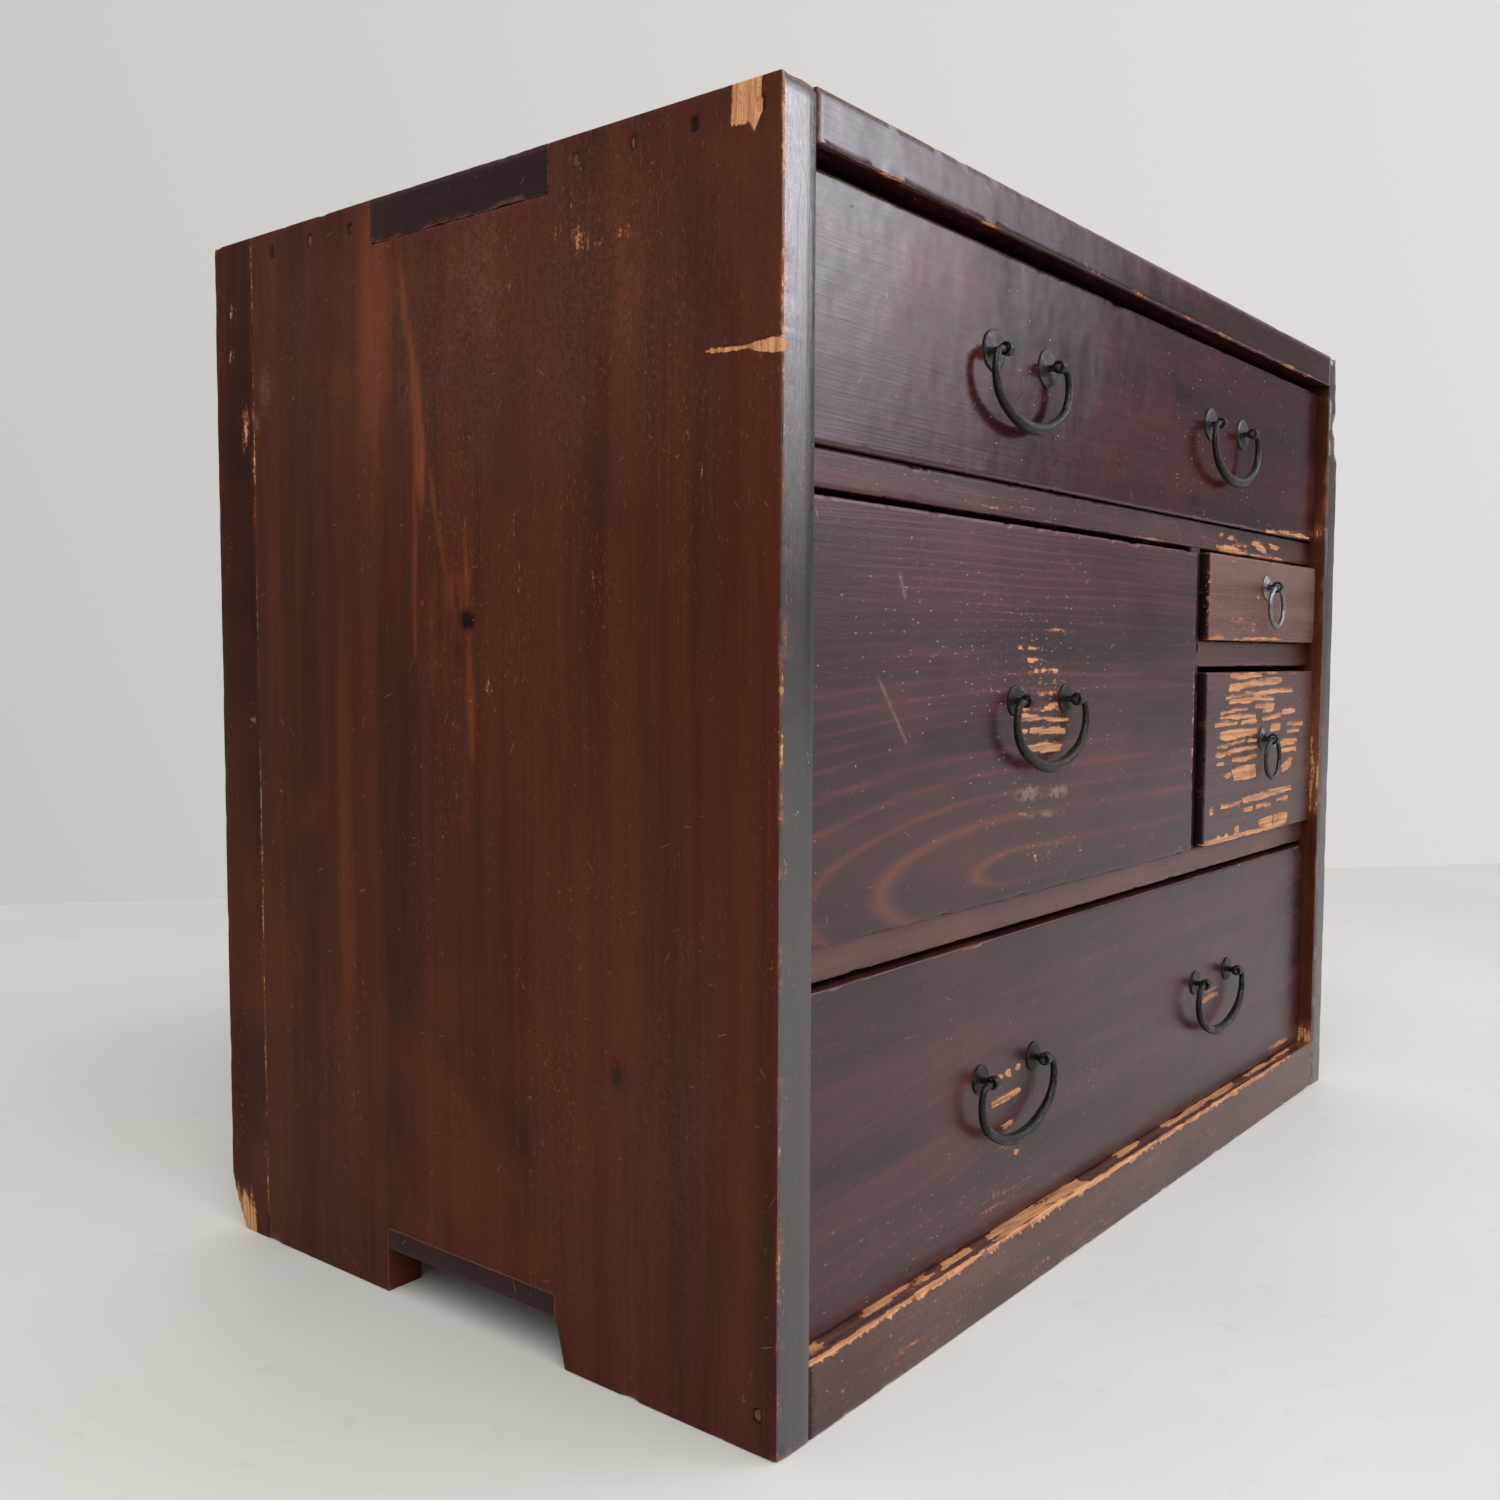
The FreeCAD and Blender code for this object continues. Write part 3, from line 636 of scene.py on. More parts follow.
sideLook = dict(
    step=(6, 2.2, 3), slot="side_lacquer", materials=[sideLacquer, uprightLacquer], waver=0.2,
    ring=plainRings("y", 9, 0, 9), topTenon=(-57, 48), bottomTenon=(-57, 45), topLow=437, bottomTop=28,
    notchTop=19, notchFlare=5, notchReach=14, pegPlaces=(9.5, 37.5, 65.5, 93.5, 226, 254, 282), pegRise=446,
    footPeg=(9, 14), pegRim=2.6, holeRadius=3, holeEdge=0.7, pegSunk=0.9)
leftMarks = dict(
    bare=[(-149.2, 456, -148.6, 441.5, 12.5), (-153, 440, -151, 441, 2)],
    scar=(-130.5, 371.3, 369.4, 5.6),
    scratch=[(-76, 192, -101, 166, 0.5), (-128, 340, -131, 326, 0.4), (-112, 420, -162, 442, 0.4)],
    hints=[(-60, 422, 5, 5, 0.44), (-71, 419, 6, 7, 0.5), (-95, 417, 5, 6, 0.46), (-82, 416, 12, 3, 0.4),
           (-76, 431, 8, 4, 0.36), (-40, 300, 5, 9, 0.34), (-78, 300, 4, 12, 0.36), (-22, 258, 4, 5, 0.4),
           (17, 292, 3, 6, 0.38), (-36, 318, 3, 8, 0.38)],
    streaks=[(30.5, 440, 24.5, 384, 2.6), (24, 404, 16.5, 322, 10), (21.5, 352, 21.5, 270, 2.4),
             (14.5, 352, -1, 288, 2.6), (-9, 326, -10, 290, 6), (-10.5, 279, -12.5, 228, 5),
             (9, 306, 12, 250, 4)],
    edges=[(27.2, 410, 21.2, 343, 1.1), (16.4, 408, 13.4, 346, 1.1), (-2, 300, -5, 286, 1.6)],
    dark=[(-5, 272, 5, 6, 0.4), (-90, 119, 4, 7, 0.8), (20, 388, 14, 20, 0.12), (-30, 360, 25, 50, 0.3),
          (-130, 395, 20, 40, 0.35), (-140, 300, 18, 90, 0.3)],
    bands=[(48, 400, 13, 62, 0.5), (60, 385, 16, 14, 0.42), (-4, 296, 9, 10, 0.5), (118, 300, 8, 90, 0.26),
           (-100, 410, 9, 50, 0.34), (-70, 180, 7, 120, 0.26), (70, 180, 9, 120, 0.26)],
    knot=(-10.2, 284, 5.6, 4.8),  # middle and radii
    knotBend=(-10, 284, 16, 34, 1.6),  # middle, radii and number of rings that the grain bends by
    scuff=[(133, 373.4, 3, 3, 1.4), (120, 374.8, 3, 1.2, 0.9), (111, 374.8, 3, 1.2, 0.7),
           (-80, 424, 30, 16, 0.6), (-85, 350, 60, 110, 0.5), (-146, 388, 9, 8, 0.8),
           (-104, 330, 14, 60, 0.6), (-75, 200, 30, 60, 0.3)],
    smear=[(125, 388, 5, 11, 0.8), (133, 373, 5, 4, 0.7), (-20, 400, 120, 60, 0.42),
           (-110, 90, 50, 110, 0.2), (95, 60, 60, 90, 0.08), (95, 410, 60, 50, 0.2), (60, 425, 25, 30, 0.25)])
rightMarks = dict(bare=[(-60, 400, 40, 20, 0.3), (60, 90, 30, 60, 0.3)],
                  rubbed=(170, 276), line=349, foot=44,  # heights on the strip inside the front edge
                  strip=24, glow=34,  # how far back the strip is bare, and how far it glows
                  chip=(392, 14, 9))  # start, run and depth


def pegSpots():  # places of the pegs on a side, as depth and height
    spots = [(frontY + setback, sideLook["pegRise"]) for setback in sideLook["pegPlaces"]]
    return spots + [(frontY + sideLook["footPeg"][0], sideLook["footPeg"][1])]


def leftPaint(points, flat, fields):
    # chips and scratches of the left side, the orange streak and the cracked knot that it runs past
    marks = leftMarks
    y, z = flat[:, 1], flat[:, 2]
    shake = 1.2 * softNoise(y, z / 3, 6, 21)
    rough = softNoise(y, z, 2.4, 25, 2)
    outside = flat[:, 0] < leftX + 1
    arris = ridge(y, frontY, 0.9) * (0.31 + 0.22 * softNoise(z, 1, 5, 22)) * np.clip((z - 60) / 260, 0.8, 1)
    tip, tipRise, edgeRise, wide = marks["scar"]  # a gash that widens towards the front edge
    grow = held((tip - y) / (tip - frontY))
    away = np.abs(z - tipRise - (edgeRise - tipRise) * grow + 0.4 * rough)
    belly = grow ** 0.7 * (0.72 + 0.45 * softNoise(y, 0, 7, 28, 2))
    gash = held(0.5 + (belly * wide / 2 - away) / 0.9) * (y < tip)
    bare = [strokeField(y + 0.3 * shake, z + 0.35 * rough, marks["bare"], 2.2), arris, 1.1 * gash,
            0.46 * strokeField(y, z, marks["scratch"], 2.0), spotField(y, z, marks["hints"])]
    fields.bare = np.max(bare, axis=0) * outside
    streak = strokeField(y + 0.4 * shake, z, marks["streaks"], 5.0, 1.0)
    streak *= 0.7 + 0.4 * softNoise(y, z / 8, 5, 5)
    streak = np.maximum(streak, spotField(y, z, marks["bands"]) * (1 + 0.5 * softNoise(y, z / 9, 9, 27)))
    streak -= 0.4 * strokeField(y + 0.4 * shake, z, marks["edges"], 1.6, 1.0)
    knotY, knotZ, wide, high = marks["knot"]
    around = np.hypot((y - knotY) / wide, (z - knotZ) / high) * (1 + 0.3 * rough)
    knot = 1.3 * np.exp(-around ** 3) * (0.8 + 0.6 * rough) - 0.3 * ridge(around, 1.4, 0.35)
    fields.stain = (streak - knot - spotField(y, z, marks["dark"])) * outside
    fields.scuff = held(spotField(y, z, marks["scuff"])) * outside
    fields.veil = held(spotField(y, z, marks["smear"]) * (0.8 + 0.3 * softNoise(y, z / 3, 20, 23)))
    bendY, bendZ, wide, high, rings = marks["knotBend"]
    fields.ring += rings * ridge(y, bendY, wide) * ridge(z, bendZ, high)


def rightPaint(points, flat, fields):
    # thin places outside; inside, the strip before the drawers is rubbed where hands and drawers pass
    y, z = flat[:, 1], flat[:, 2]
    low, high = rightMarks["rubbed"]
    inner = np.abs(flat[:, 0] - insideX) < 0.5
    rubbed = held((z - low) / 5) * held((high - z) / 60) + ridge(z, rightMarks["line"], 6)
    rubbed += held((rightMarks["foot"] - z) / 10)
    fields.bare = spotField(y, z, rightMarks["bare"])
    strip = inner * (y < frontY + rightMarks["strip"])
    fields.bare += strip * rubbed * (0.5 + 0.16 * softNoise(y, z / 6, 3, 24))
    rubbed = held(rubbed) * inner * (y < frontY + rightMarks["glow"])
    fields.stain += rubbed * (0.55 + 0.3 * softNoise(y, z / 6, 5, 26))
    fields.veil += rubbed * 0.5


def chippedEdge(points):
    # right front edge: rubbed all along, broken back near the top, whole again below the chip
    z = points[:, 2]
    start, run, deep = rightMarks["chip"]
    chip = deep * held((z - start) / run) * (0.85 + 0.15 * softNoise(z, 0, 9, 3))
    return np.maximum(chip, 0.7 + 0.35 * np.maximum(softNoise(z, 0.5, 12, 8), 0))


def sideBoard(node, outer, rub, paint, fine, holeShade):  # a side less the seats of its tenons, with peg holes
    look = dict(sideLook, wear=rub)
    look["cutouts"] = [(anywhere, look["topTenon"], (look["topLow"], past)),
                       (anywhere, look["bottomTenon"], (-past, look["bottomTop"]))]
    rims = (-look["pegRim"], look["pegRim"])
    look["fine"] = fine + [(2, look["notchTop"])] + [(1, y + rim) for y, z in pegSpots() for rim in rims]
    look["fine"] += [(2, z + rim) for z in (look["pegRise"], look["footPeg"][1]) for rim in rims]

    def finishSide(points, flat, fields):
        # a shallow hole round each peg, darkened by painted shade, and the leaning front edge of the foot
        # notch
        holes = np.min([np.hypot(flat[:, 1] - y, flat[:, 2] - z) for y, z in pegSpots()], axis=0)
        sunk = held((look["holeRadius"] - holes) / look["holeEdge"]) * (np.abs(flat[:, 0] - outer) < 0.1)
        points[:, 0] -= np.sign(outer) * look["pegSunk"] * sunk
        paint(points, flat, fields)
        # painted shade: the sunk ring round each peg is darkened like a shadowed hole
        fields.stain -= holeShade * sunk
        lean = held(1 - points[:, 2] / look["notchTop"]) * look["notchFlare"]
        points[:, 1] -= lean * ridge(points[:, 1], look["bottomTenon"][0], look["notchReach"])
    boardPiece(node, look, finishSide, frontAndRest)


leftRub = {"-x-y": (0.6, 0.8, 8), "+x-y": (0.25, 0.0, 14), "-x+z": (0.4, 0.5, 10), "-y+z": (1.0, 1.2, 7),
           "-x-z": (0.5, 1.0, 14), "-y-z": (0.9, 1.2, 8)}
rightRub = {"+x-y": chippedEdge, "-x-y": (0.5, 0.8, 14), "+x+z": (0.5, 1.1, 12), "-y+z": (1.0, 1.2, 7),
            "+x-z": (0.5, 1.0, 14)}
leftFine = [(1, y) for y in np.arange(-16, 34, 2.4)]  # more mesh lines at the knot and its streak
leftFine += [(1, y) for y in np.arange(-162, -126, 3)]  # and at the scar
leftFine += [(2, z) for z in np.arange(365, 377, 2)]
sideBoard("left_side_board", leftX, leftRub, leftPaint, leftFine, holeShade=1.2)
sideBoard("right_side_board", rightX, rightRub, rightPaint, [], holeShade=2.4)


# Rear strips, glued behind the sides

stripLook = dict(step=(4, 2, 3), slot="side_lacquer", materials=[sideLacquer],
                 ring=plainRings("y", 7, 0, 5), cornerDepth=11, cornerHeight=26, cornerStart=140,
                 seam=134, seamRub=(0.7, 0.5, 30), footRub=(2, 3, 10),
                 spots=[(150, 425, 4, 6, 0.5), (152, 405, 4, 4, 0.5), (140, 372, 5, 12, 0.45),
                        (139, 240, 3, 4, 0.6)])


def stripPaint(points, flat, fields):
    # the foot's rear corner is rounded off and bare, the rest darker than the sides
    y, z = flat[:, 1], flat[:, 2]
    fields.stain -= 0.35 + 0.2 * softNoise(y, z, 40, 4)
    corner = held((stripLook["cornerHeight"] - z) / 20)
    corner *= held((y - stripLook["cornerStart"]) / 10)
    seam = ridge(y, stripLook["seam"], 0.9) * (0.44 + 0.14 * softNoise(z, 0, 25, 17))
    fields.bare = np.max([1.1 * corner, spotField(y, z, stripLook["spots"]), seam], axis=0)


def cornerRub(points):  # an even rub that deepens to the corner's depth towards the floor
    z = points[:, 2]
    low = held(1 - z / stripLook["cornerHeight"])
    return 0.8 + stripLook["cornerDepth"] * low ** 1.5 + 0.3 * np.maximum(softNoise(z, 0, 12, 6), 0)


for hand, face in (("left", "-x"), ("right", "+x")):
    rub = {face + "+y": cornerRub, face + "-y": stripLook["seamRub"], "+y-z": stripLook["footRub"]}
    boardPiece(hand + "_rear_strip", {**stripLook, "wear": rub}, stripPaint)
print("sides done")


# Top and bottom boards with their wide tenons

topLook = dict(step=(3, 3, 2), slot="front_lacquer", materials=[evenLacquer, endLacquer, topLacquer],
               ring=plainRings("y", 8, 0.02, 8),
               wear={"-y+z": (0.5, 0.5, 8), "-y-z": (0.4, 0.6, 9), "-x-z": (0.5, 1.2, 6),
                     "-x+z": (0.3, 0.4, 6)},
               thin=[(60, 40, 90, 25, 0.32), (-150, -100, 60, 20, 0.3), (190, -60, 50, 30, 0.34)])
bottomLook = dict(step=(8, 8, 3), slot="bare_cedar", materials=[cedarBack, endLacquer],
                  ring=plainRings("y", 9, 0.02, 8))


def tenonedBoard(node, tenon, look, paint=None, tint=endsAndRest):  # full width only along its tenon
    ends = ((insideX, past), (-past, -insideX))
    rows = ((-past, tenon[0]), (tenon[1], past))
    cuts = [(end, row, anywhere) for end in ends for row in rows]
    boardPiece(node, {**look, "cutouts": cuts}, paint, tint)


def topPaint(points, flat, fields):
    # a dusty rubbed top, and a bare line along the lower front edge
    x, y, z = flat.T
    upside = z > topZ - 1
    fields.scuff = 0.25 * upside * (0.5 + softNoise(x, y, 60, 9))
    fields.veil = 0.3 * upside * (0.75 + 0.25 * softNoise(x / 3, y, 40, 10))
    lowEdge = ridge(z, sideLook["topLow"], 1.2) * (y < frontY + 1.5) * (0.4 + 0.2 * softNoise(x, 0, 14, 33))
    fields.bare = np.maximum(spotField(x, y, topLook["thin"]), lowEdge)


tenonedBoard("top_board", sideLook["topTenon"], topLook, topPaint, topTint)
tenonedBoard("bottom_board", sideLook["bottomTenon"], bottomLook)


# Rails and the partition

upperMarks = dict(
    bare=[(113, 329.8, 170, 328.8, 2.8), (170, 328.8, 232, 328.3, 2.4), (164, 334.8, 190, 331.9, 2.6),
          (195, 336.5, 215, 335.2, 2.4), (115, 336.6, 123, 336.9, 2.2), (131, 336.2, 140, 336.8, 1.8)],
    hints=[(30, 329, 60, 1.8, 0.48), (-66, 328.6, 34, 1.2, 0.5), (-207, 341, 24, 1.2, 0.46),
           (178, 338, 14, 2, 0.46), (-135, 331, 14, 1.6, 0.46), (-104, 333, 10, 1.6, 0.46),
           (-20, 334, 18, 1.2, 0.46), (140, 333, 60, 5, 0.4)],
    scuff=[(-110, 334, 90, 6, 0.8), (60, 333, 90, 6, 0.7)])
railLook = dict(step=(2, 4, 1.5), slot="front_lacquer", ring=plainRings("z", 6, 0.03, 5),
                wear={"-y+z": (0.4, 0.6, 9), "-y-z": (0.4, 0.7, 9)})
partitionLook = dict(step=(3, 4, 2), slot="front_lacquer", materials=[partitionLacquer],
                     ring=plainRings("y", 7), wear={"-x-y": (0.5, 0.9, 9), "+x-y": (0.5, 0.9, 9)})


def upperPaint(points, flat, fields):  # bared bars and thin places of the upper rail
    x, z = flat[:, 0], flat[:, 2]
    shake = softNoise(x / 4, z, 5, 31)
    bare = strokeField(x + 3 * shake, z + shake, upperMarks["bare"], 2.4, 0.4)
    fields.bare = np.maximum(bare, spotField(x, z, upperMarks["hints"]))
    fields.scuff = spotField(x, z, upperMarks["scuff"])


def partitionShade(points, flat, fields):  # painted shade: darker than the fronts beside it, as if in shadow between them
    fields.stain -= 0.6


for node, finish, paint in (("upper_rail", railLacquer, upperPaint), ("lower_rail", lowRailLacquer, None),
                            ("small_rail", railLacquer, None)):
    shelf = nodeBox(node.replace("rail", "shelf"))[0]
    rebate = [(anywhere, (shelf[1], past), (shelf[2], past))]  # the shelf lies in it
    boardPiece(node, {**railLook, "materials": [finish], "cutouts": rebate}, paint)
railLo, railHi = nodeBox("upper_rail")
partitionLook["cutouts"] = [(anywhere, (-past, railHi[1]), (railLo[2], past))]
boardPiece("partition", partitionLook, partitionShade)

footMarks = dict(
    # the groove is a line of painted shade on the top, weaker where it is filled
    arris=-162.4, grooveShade=-161.2, tornLow=25.6, tornEnd=268, lineEnd=262, fade=60,
    patches=[(-264, -158.5, -250, -158.5, 7), (-226, -157.5, -178, -157.5, 5), (-172, -158, -146, -158, 5),
             (-136, -159, -44, -159, 8), (-8, -158, 18, -158, 5), (50, -158, 150, -158, 5),
             (165, -158, 240, -158, 3.4)],
    filled=[(-90, -161, 52, 4, 1.4), (-258, -161, 6, 4, 1.2), (-196, -161, 14, 4, 0.7)],
    ticks=[(-247, 12, -247, 4, 1), (-244.5, 13, -244.5, 5, 1), (-242, 11, -242, 4, 1)],
    low=[(-190, 10, 90, 9, 0.3), (-60, 6, 120, 6, 0.3), (90, 14, 60, 7, 0.28)])


def tornEdge(points):
    # front top edge of the bottom rail: torn off in splinters, fading to the right
    x = points[:, 0]
    fade = np.clip((footMarks["tornEnd"] - x) / footMarks["fade"], 0.15, 1)
    return fade * (1.5 + 0.9 * softNoise(x, 0, 12, 12) + 0.5 * softNoise(x, 3, 3, 15, 2))


def footPaint(points, flat, fields):
    # on top: a torn line along the edge, painted shade along a groove, then wood bared in long patches; in
    # front: splinters under the edge, thin places, and painted shade in the gap at the left end
    marks = footMarks
    x, y, z = flat.T
    onTop, inFront = z > z.max() - 0.8, y < frontY + 0.8
    fade = np.clip((marks["lineEnd"] - x) / marks["fade"], 0.15, 1)
    line = held((marks["arris"] + 0.5 - y) / 0.8) * fade * (0.66 + 0.4 * softNoise(x, 0, 5, 13))
    # painted shade: a dark line along the groove, with no wood bared in it
    grooveShade = ridge(y, marks["grooveShade"], 0.8) * (1 - np.clip(spotField(x, y, marks["filled"]), 0, 0.9))
    slide = 5 * softNoise(x, y * 4, 9, 17, 2)
    patch = strokeField(x + slide, y, marks["patches"], 3.0)
    patch *= 0.82 + 0.32 * softNoise(x / 3, y * 2, 4, 14, 2)
    splinter = 1.4 * softNoise(x * 1.4, z / 3, 3, 16, 2)
    torn = held((z - marks["tornLow"] - splinter) / 2) * fade
    low = np.maximum(spotField(x, z, marks["low"]), 0.6 * strokeField(x, z, marks["ticks"]))
    fields.bare = np.maximum(line, patch) * (1 - 0.8 * grooveShade) * onTop
    fields.bare = np.maximum(fields.bare, np.maximum(torn, low) * inFront)
    # painted shade in the gap at the left end, which keeps no dust or wear
    endGapShade = ridge(x, x.min(), 1.3) * inFront
    fields.stain += 0.22 * inFront * (0.6 + 0.6 * softNoise(x / 3, z, 12, 18))
    fields.stain -= 1.2 * grooveShade * onTop + 2 * endGapShade
    fields.veil = 0.16 * inFront * (0.6 + 0.5 * softNoise(x / 3, z, 20, 19)) * (1 - endGapShade)
    fields.worn = np.maximum(fields.worn, onTop * 0.7) * (1 - endGapShade)
    fields.scuff = 0.3 * inFront * held((z - 8) / 14)


footLook = dict(step=(1.4, 1.5, 1.5), slot="front_lacquer", materials=[railLacquer],
                ring=plainRings("z", 6, 0.02, 4),
                fine=[(1, y) for y in (-163, -162.2, -161.6, -160.8, -160.2, -159.4)],
                wear={"-y+z": tornEdge, "-y-z": (0.8, 0.7, 12), "-x-y": (2.2, 0.6, 8)})
boardPiece("front_bottom_rail", footLook, footPaint)


# Plain inner boards

innerLook = dict(step=(7, 7, 5), slot="bare_cedar", arris=0.4, rub=(0.1, 0.4, 20))
backLook = dict(innerLook, step=(6, 3, 6), arris=0.9, wear={"+y-z": (0.5, 0.6, 12), "+y+z": (0.5, 0.6, 12)})


def cedarBoard(node, finish, ring, look=innerLook):  # a board with no paint of its own
    boardPiece(node, {**look, "materials": [finish], "ring": ring})


for node in ("lower_shelf", "upper_shelf", "small_shelf"):
    cedarBoard(node, cedarWide, plainRings("y", 8, 0.02, 10))
cedarBoard("back_board_lower", cedarBack, plainRings("z", 9, 0.03, 14), backLook)
cedarBoard("back_board_upper", cedarBack, plainRings("z", 12, -0.02, 14), backLook)
print("case done")


# Drawers; the marks are on the front's face

middleMarks = dict(
    bare=[(-112, 244.8, -67, 243.1, 2), (-105, 238.7, -70, 237.8, 3.3), (-112, 239, -107, 238.8, 1.9),
          (-108, 231.9, -73, 230.9, 3.5), (-90, 249, -79, 249, 2.6), (-95.5, 186, -95.5, 180, 1.5),
          (-83, 187, -83.5, 183, 1.1), (-72, 186, -71.5, 182.5, 0.8), (-55, 183, -53, 181, 1.1)],
    rows=[(-115, 274, -83, 274, 2), (-112, 269, -79, 269, 1.8), (-113, 265, -78, 264.5, 2.8),
          (-113, 260, -67, 260, 1.6), (-102, 255, -79, 254.5, 2.6), (-110, 248, -68, 247, 1.4),
          (-94, 227, -84, 226.5, 2), (-112, 204, -68, 200.5, 2)],
    cuts=[(-219.5, 263, -200, 238, 0.6), (-206, 301, -202, 292, 0.8)],
    hints=[(-88, 282, 30, 2, 0.38), (60, 172, 20, 3, 0.36), (78, 186, 1.5, 18, 0.5), (76, 240, 2, 60, 0.4)],
    scuff=[(-92, 211.5, 30, 4, 1.2), (-100, 250, 60, 45, 1), (-190, 285, 70, 24, 0.6),
           (-140, 252, 26, 30, 1.1), (-215, 300, 7, 10, 0.5), (-60, 186, 60, 8, 0.5), (-155, 290, 22, 6, 1),
           (-110, 291, 36, 6, 1.2), (-25, 295, 14, 3, 1)],
    figure=[(-190, 185, 110, 36, 0.48), (-120, 190, 60, 14, 0.4), (-220, 240, 60, 30, 0.25)],
    smear=[(-102, 212.5, 14, 3.4, 0.8), (-78, 211, 12, 3.2, 0.75), (-90, 202, 22, 2, 0.4),
           (-90, 255, 14, 1.5, 0.5)])
lowerMarks = dict(
    bare=[(125, 260, 176, 261.5, 3), (124, 254, 207, 257.5, 4.2), (121, 249, 230, 251.7, 2.6),
          (124, 246, 199, 247.3, 2.6), (114, 240.6, 153, 241.8, 1.8), (166, 242.9, 196, 243.3, 2.6),
          (178, 240, 195, 241.2, 3), (110, 237.6, 169, 238.2, 2.4), (178, 235.5, 209, 236.9, 3.4),
          (211, 237.8, 234, 238.9, 3), (107, 234.4, 138, 234.4, 2.4), (144, 234.1, 169, 235, 2.8),
          (191, 229.2, 208, 229.4, 4.4), (111, 227.7, 169, 228.6, 5), (110, 222.7, 150, 223.8, 1.8),
          (154, 223.4, 170, 223.7, 2.2), (220, 230.9, 250, 230.6, 2.8), (220, 225.8, 243, 226.6, 2.6),
          (106, 217.7, 170, 219.3, 2.9), (201, 219.9, 238, 220.4, 3.1), (206, 215.5, 238, 215.6, 2.6),
          (108, 212.7, 118, 212.5, 2.6), (129, 213.5, 170, 214.4, 3.3), (133, 205.8, 169, 206, 9),
          (119, 205.8, 131, 206.3, 3.4), (213, 204.9, 230, 207.7, 5.8), (148, 189.9, 230, 192.1, 4.4),
          (101, 188.8, 107, 189, 4), (115, 188.8, 145, 188.8, 2.4), (152, 185, 166, 184.4, 2.6),
          (170, 184.7, 196, 184.9, 2.6), (203, 185.9, 223, 185.8, 2.8), (93, 171.4, 224, 170.2, 2.8),
          (138, 173.9, 144, 174.1, 5.4), (112, 172.5, 118, 172.5, 4), (124, 172.5, 129, 172.5, 4),
          (176, 174.4, 198, 174, 7), (200, 175, 224, 174.6, 8)],
    hints=[(147, 223.9, 24, 1, 0.4), (236, 228.6, 20, 3, 0.4), (179, 262, 90, 1.5, 0.5)],
    scuff=[(170, 225, 60, 40, 0.3)], endShade=0.9)
upperSmallMarks = dict(
    bare=[(94, 281, 118, 281.4, 2.4), (130, 281, 205, 281, 1.2)],
    hints=[(140, 292, 22, 7, 0.42), (120, 284, 30, 4, 0.44), (93, 300, 2, 30, 0.42), (210, 283, 40, 3, 0.4),
           (166, 302, 4, 14, 0.44), (160, 288, 10, 8, 0.46), (150, 323, 70, 1.5, 0.46)],
    scuff=[(150, 300, 40, 16, 0.6)], endShade=1.6)
bottomMarks = dict(
    bare=[(-129, 82.2, -103, 83.8, 2.8), (-127, 93.6, -123, 93.5, 3.4), (-121, 94.1, -117, 93.8, 2.6),
          (-115, 94.2, -110, 93.7, 3.8), (-105, 94.9, -102, 94.6, 2.6), (-118, 70.9, -108, 71.7, 2.4),
          (101, 83, 127, 84.5, 3.2), (-108, 56.3, -105, 56.2, 2.6)],
    hints=[(-112, 62, 18, 8, 0.42), (-110, 40, 60, 8, 0.34), (112, 88, 20, 4, 0.34), (230, 34, 30, 5, 0.4)],
    scuff=[(-112, 75, 40, 25, 0.4), (-165, 50, 60, 16, 1), (-110, 57, 26, 12, 1.3), (-20, 75, 60, 25, 0.5),
           (100, 60, 90, 25, 0.4)])
topMarks = dict(
    bare=[(182, 343.6, 256, 344.2, 1.6)],
    hints=[(218, 345, 44, 2.4, 0.46), (100, 343, 60, 1.5, 0.4)],
    scuff=[(112, 380, 60, 40, 0.3), (-115, 380, 40, 30, 0.2)],
    # dents: spots of painted shade where small dents lie; the mesh is not pressed in
    dents=[(-233, 417, 1.4, 2.2, 1), (-222, 416, 2.2, 1.2, 1), (-240, 386, 2.4, 1, 1),
           (-229, 386, 1.6, 1.2, 0.9), (-215, 384, 1, 1, 1), (-226, 364, 1, 1, 1), (-102, 382, 0.8, 7, 0.5),
           (-96, 376, 0.8, 9, 0.5), (-118, 404, 5, 1, 0.5)])


def frontPaint(marks, face):
    # bared bars with crumbled borders, rows of beads, single cuts, smears, scuffed places, and painted shade
    # in dents and on the left end face
    def spots(key, x, z):
        return spotField(x, z, marks.get(key, ()))

    def paint(points, flat, fields):
        x, y, z = flat.T
        shown = y < face + 1
        shake = 0.7 * softNoise(x / 5, z, 3, 51)
        bare = strokeField(x + 3 * shake, z + shake, marks["bare"], 2.4, 0.25)
        bare += 0.12 * softNoise(x, z * 2, 4, 52, 2)
        beads = 0.5 + 0.34 * softNoise(x, z / 2, 3.4, 53, 2)
        rows = strokeField(x, z + 0.5 * shake, marks.get("rows"), 2.0) * beads
        cuts = 0.7 * strokeField(x, z, marks.get("cuts"), 1.6)
        smear = spots("smear", x, z) * (1 + 0.8 * softNoise(x, z, 2.5, 54, 2))
        smear = 0.8 * held(2.6 * smear - 0.7)
        year = fields.ring % 1  # late wood of the figure glows through
        lateWood = held((year - 0.3) / 0.2) * held((0.74 - year) / 0.22)
        fields.bare = np.max([bare, rows, spots("hints", x, z)], axis=0) * shown
        fields.scuff = spots("scuff", x, z) * shown
        fields.veil = held(np.maximum(smear, cuts)) * shown
        # orange late wood of the figure, and painted shade in the dents
        fields.stain += (lateWood * spots("figure", x, z) - 1.2 * spots("dents", x, z)) * shown
        # painted shade on the left end face of a front
        fields.stain -= marks.get("endShade", 0) * (x < x.min() + 0.6)
        points[:, 1] += 0.2 * held(fields.bare * 2 - 1) * shown
    return paint


def frontCuts(name):  # laps behind a drawer front for its sides and bottom
    left, right, bottom = [nodeBox(name + part) for part in ("_left_side", "_right_side", "_bottom")]
    behind = (left[0][1], past)
    return [((-past, left[1][0]), behind, anywhere), ((right[0][0], past), behind, anywhere),
            (anywhere, behind, (-past, bottom[1][2]))]


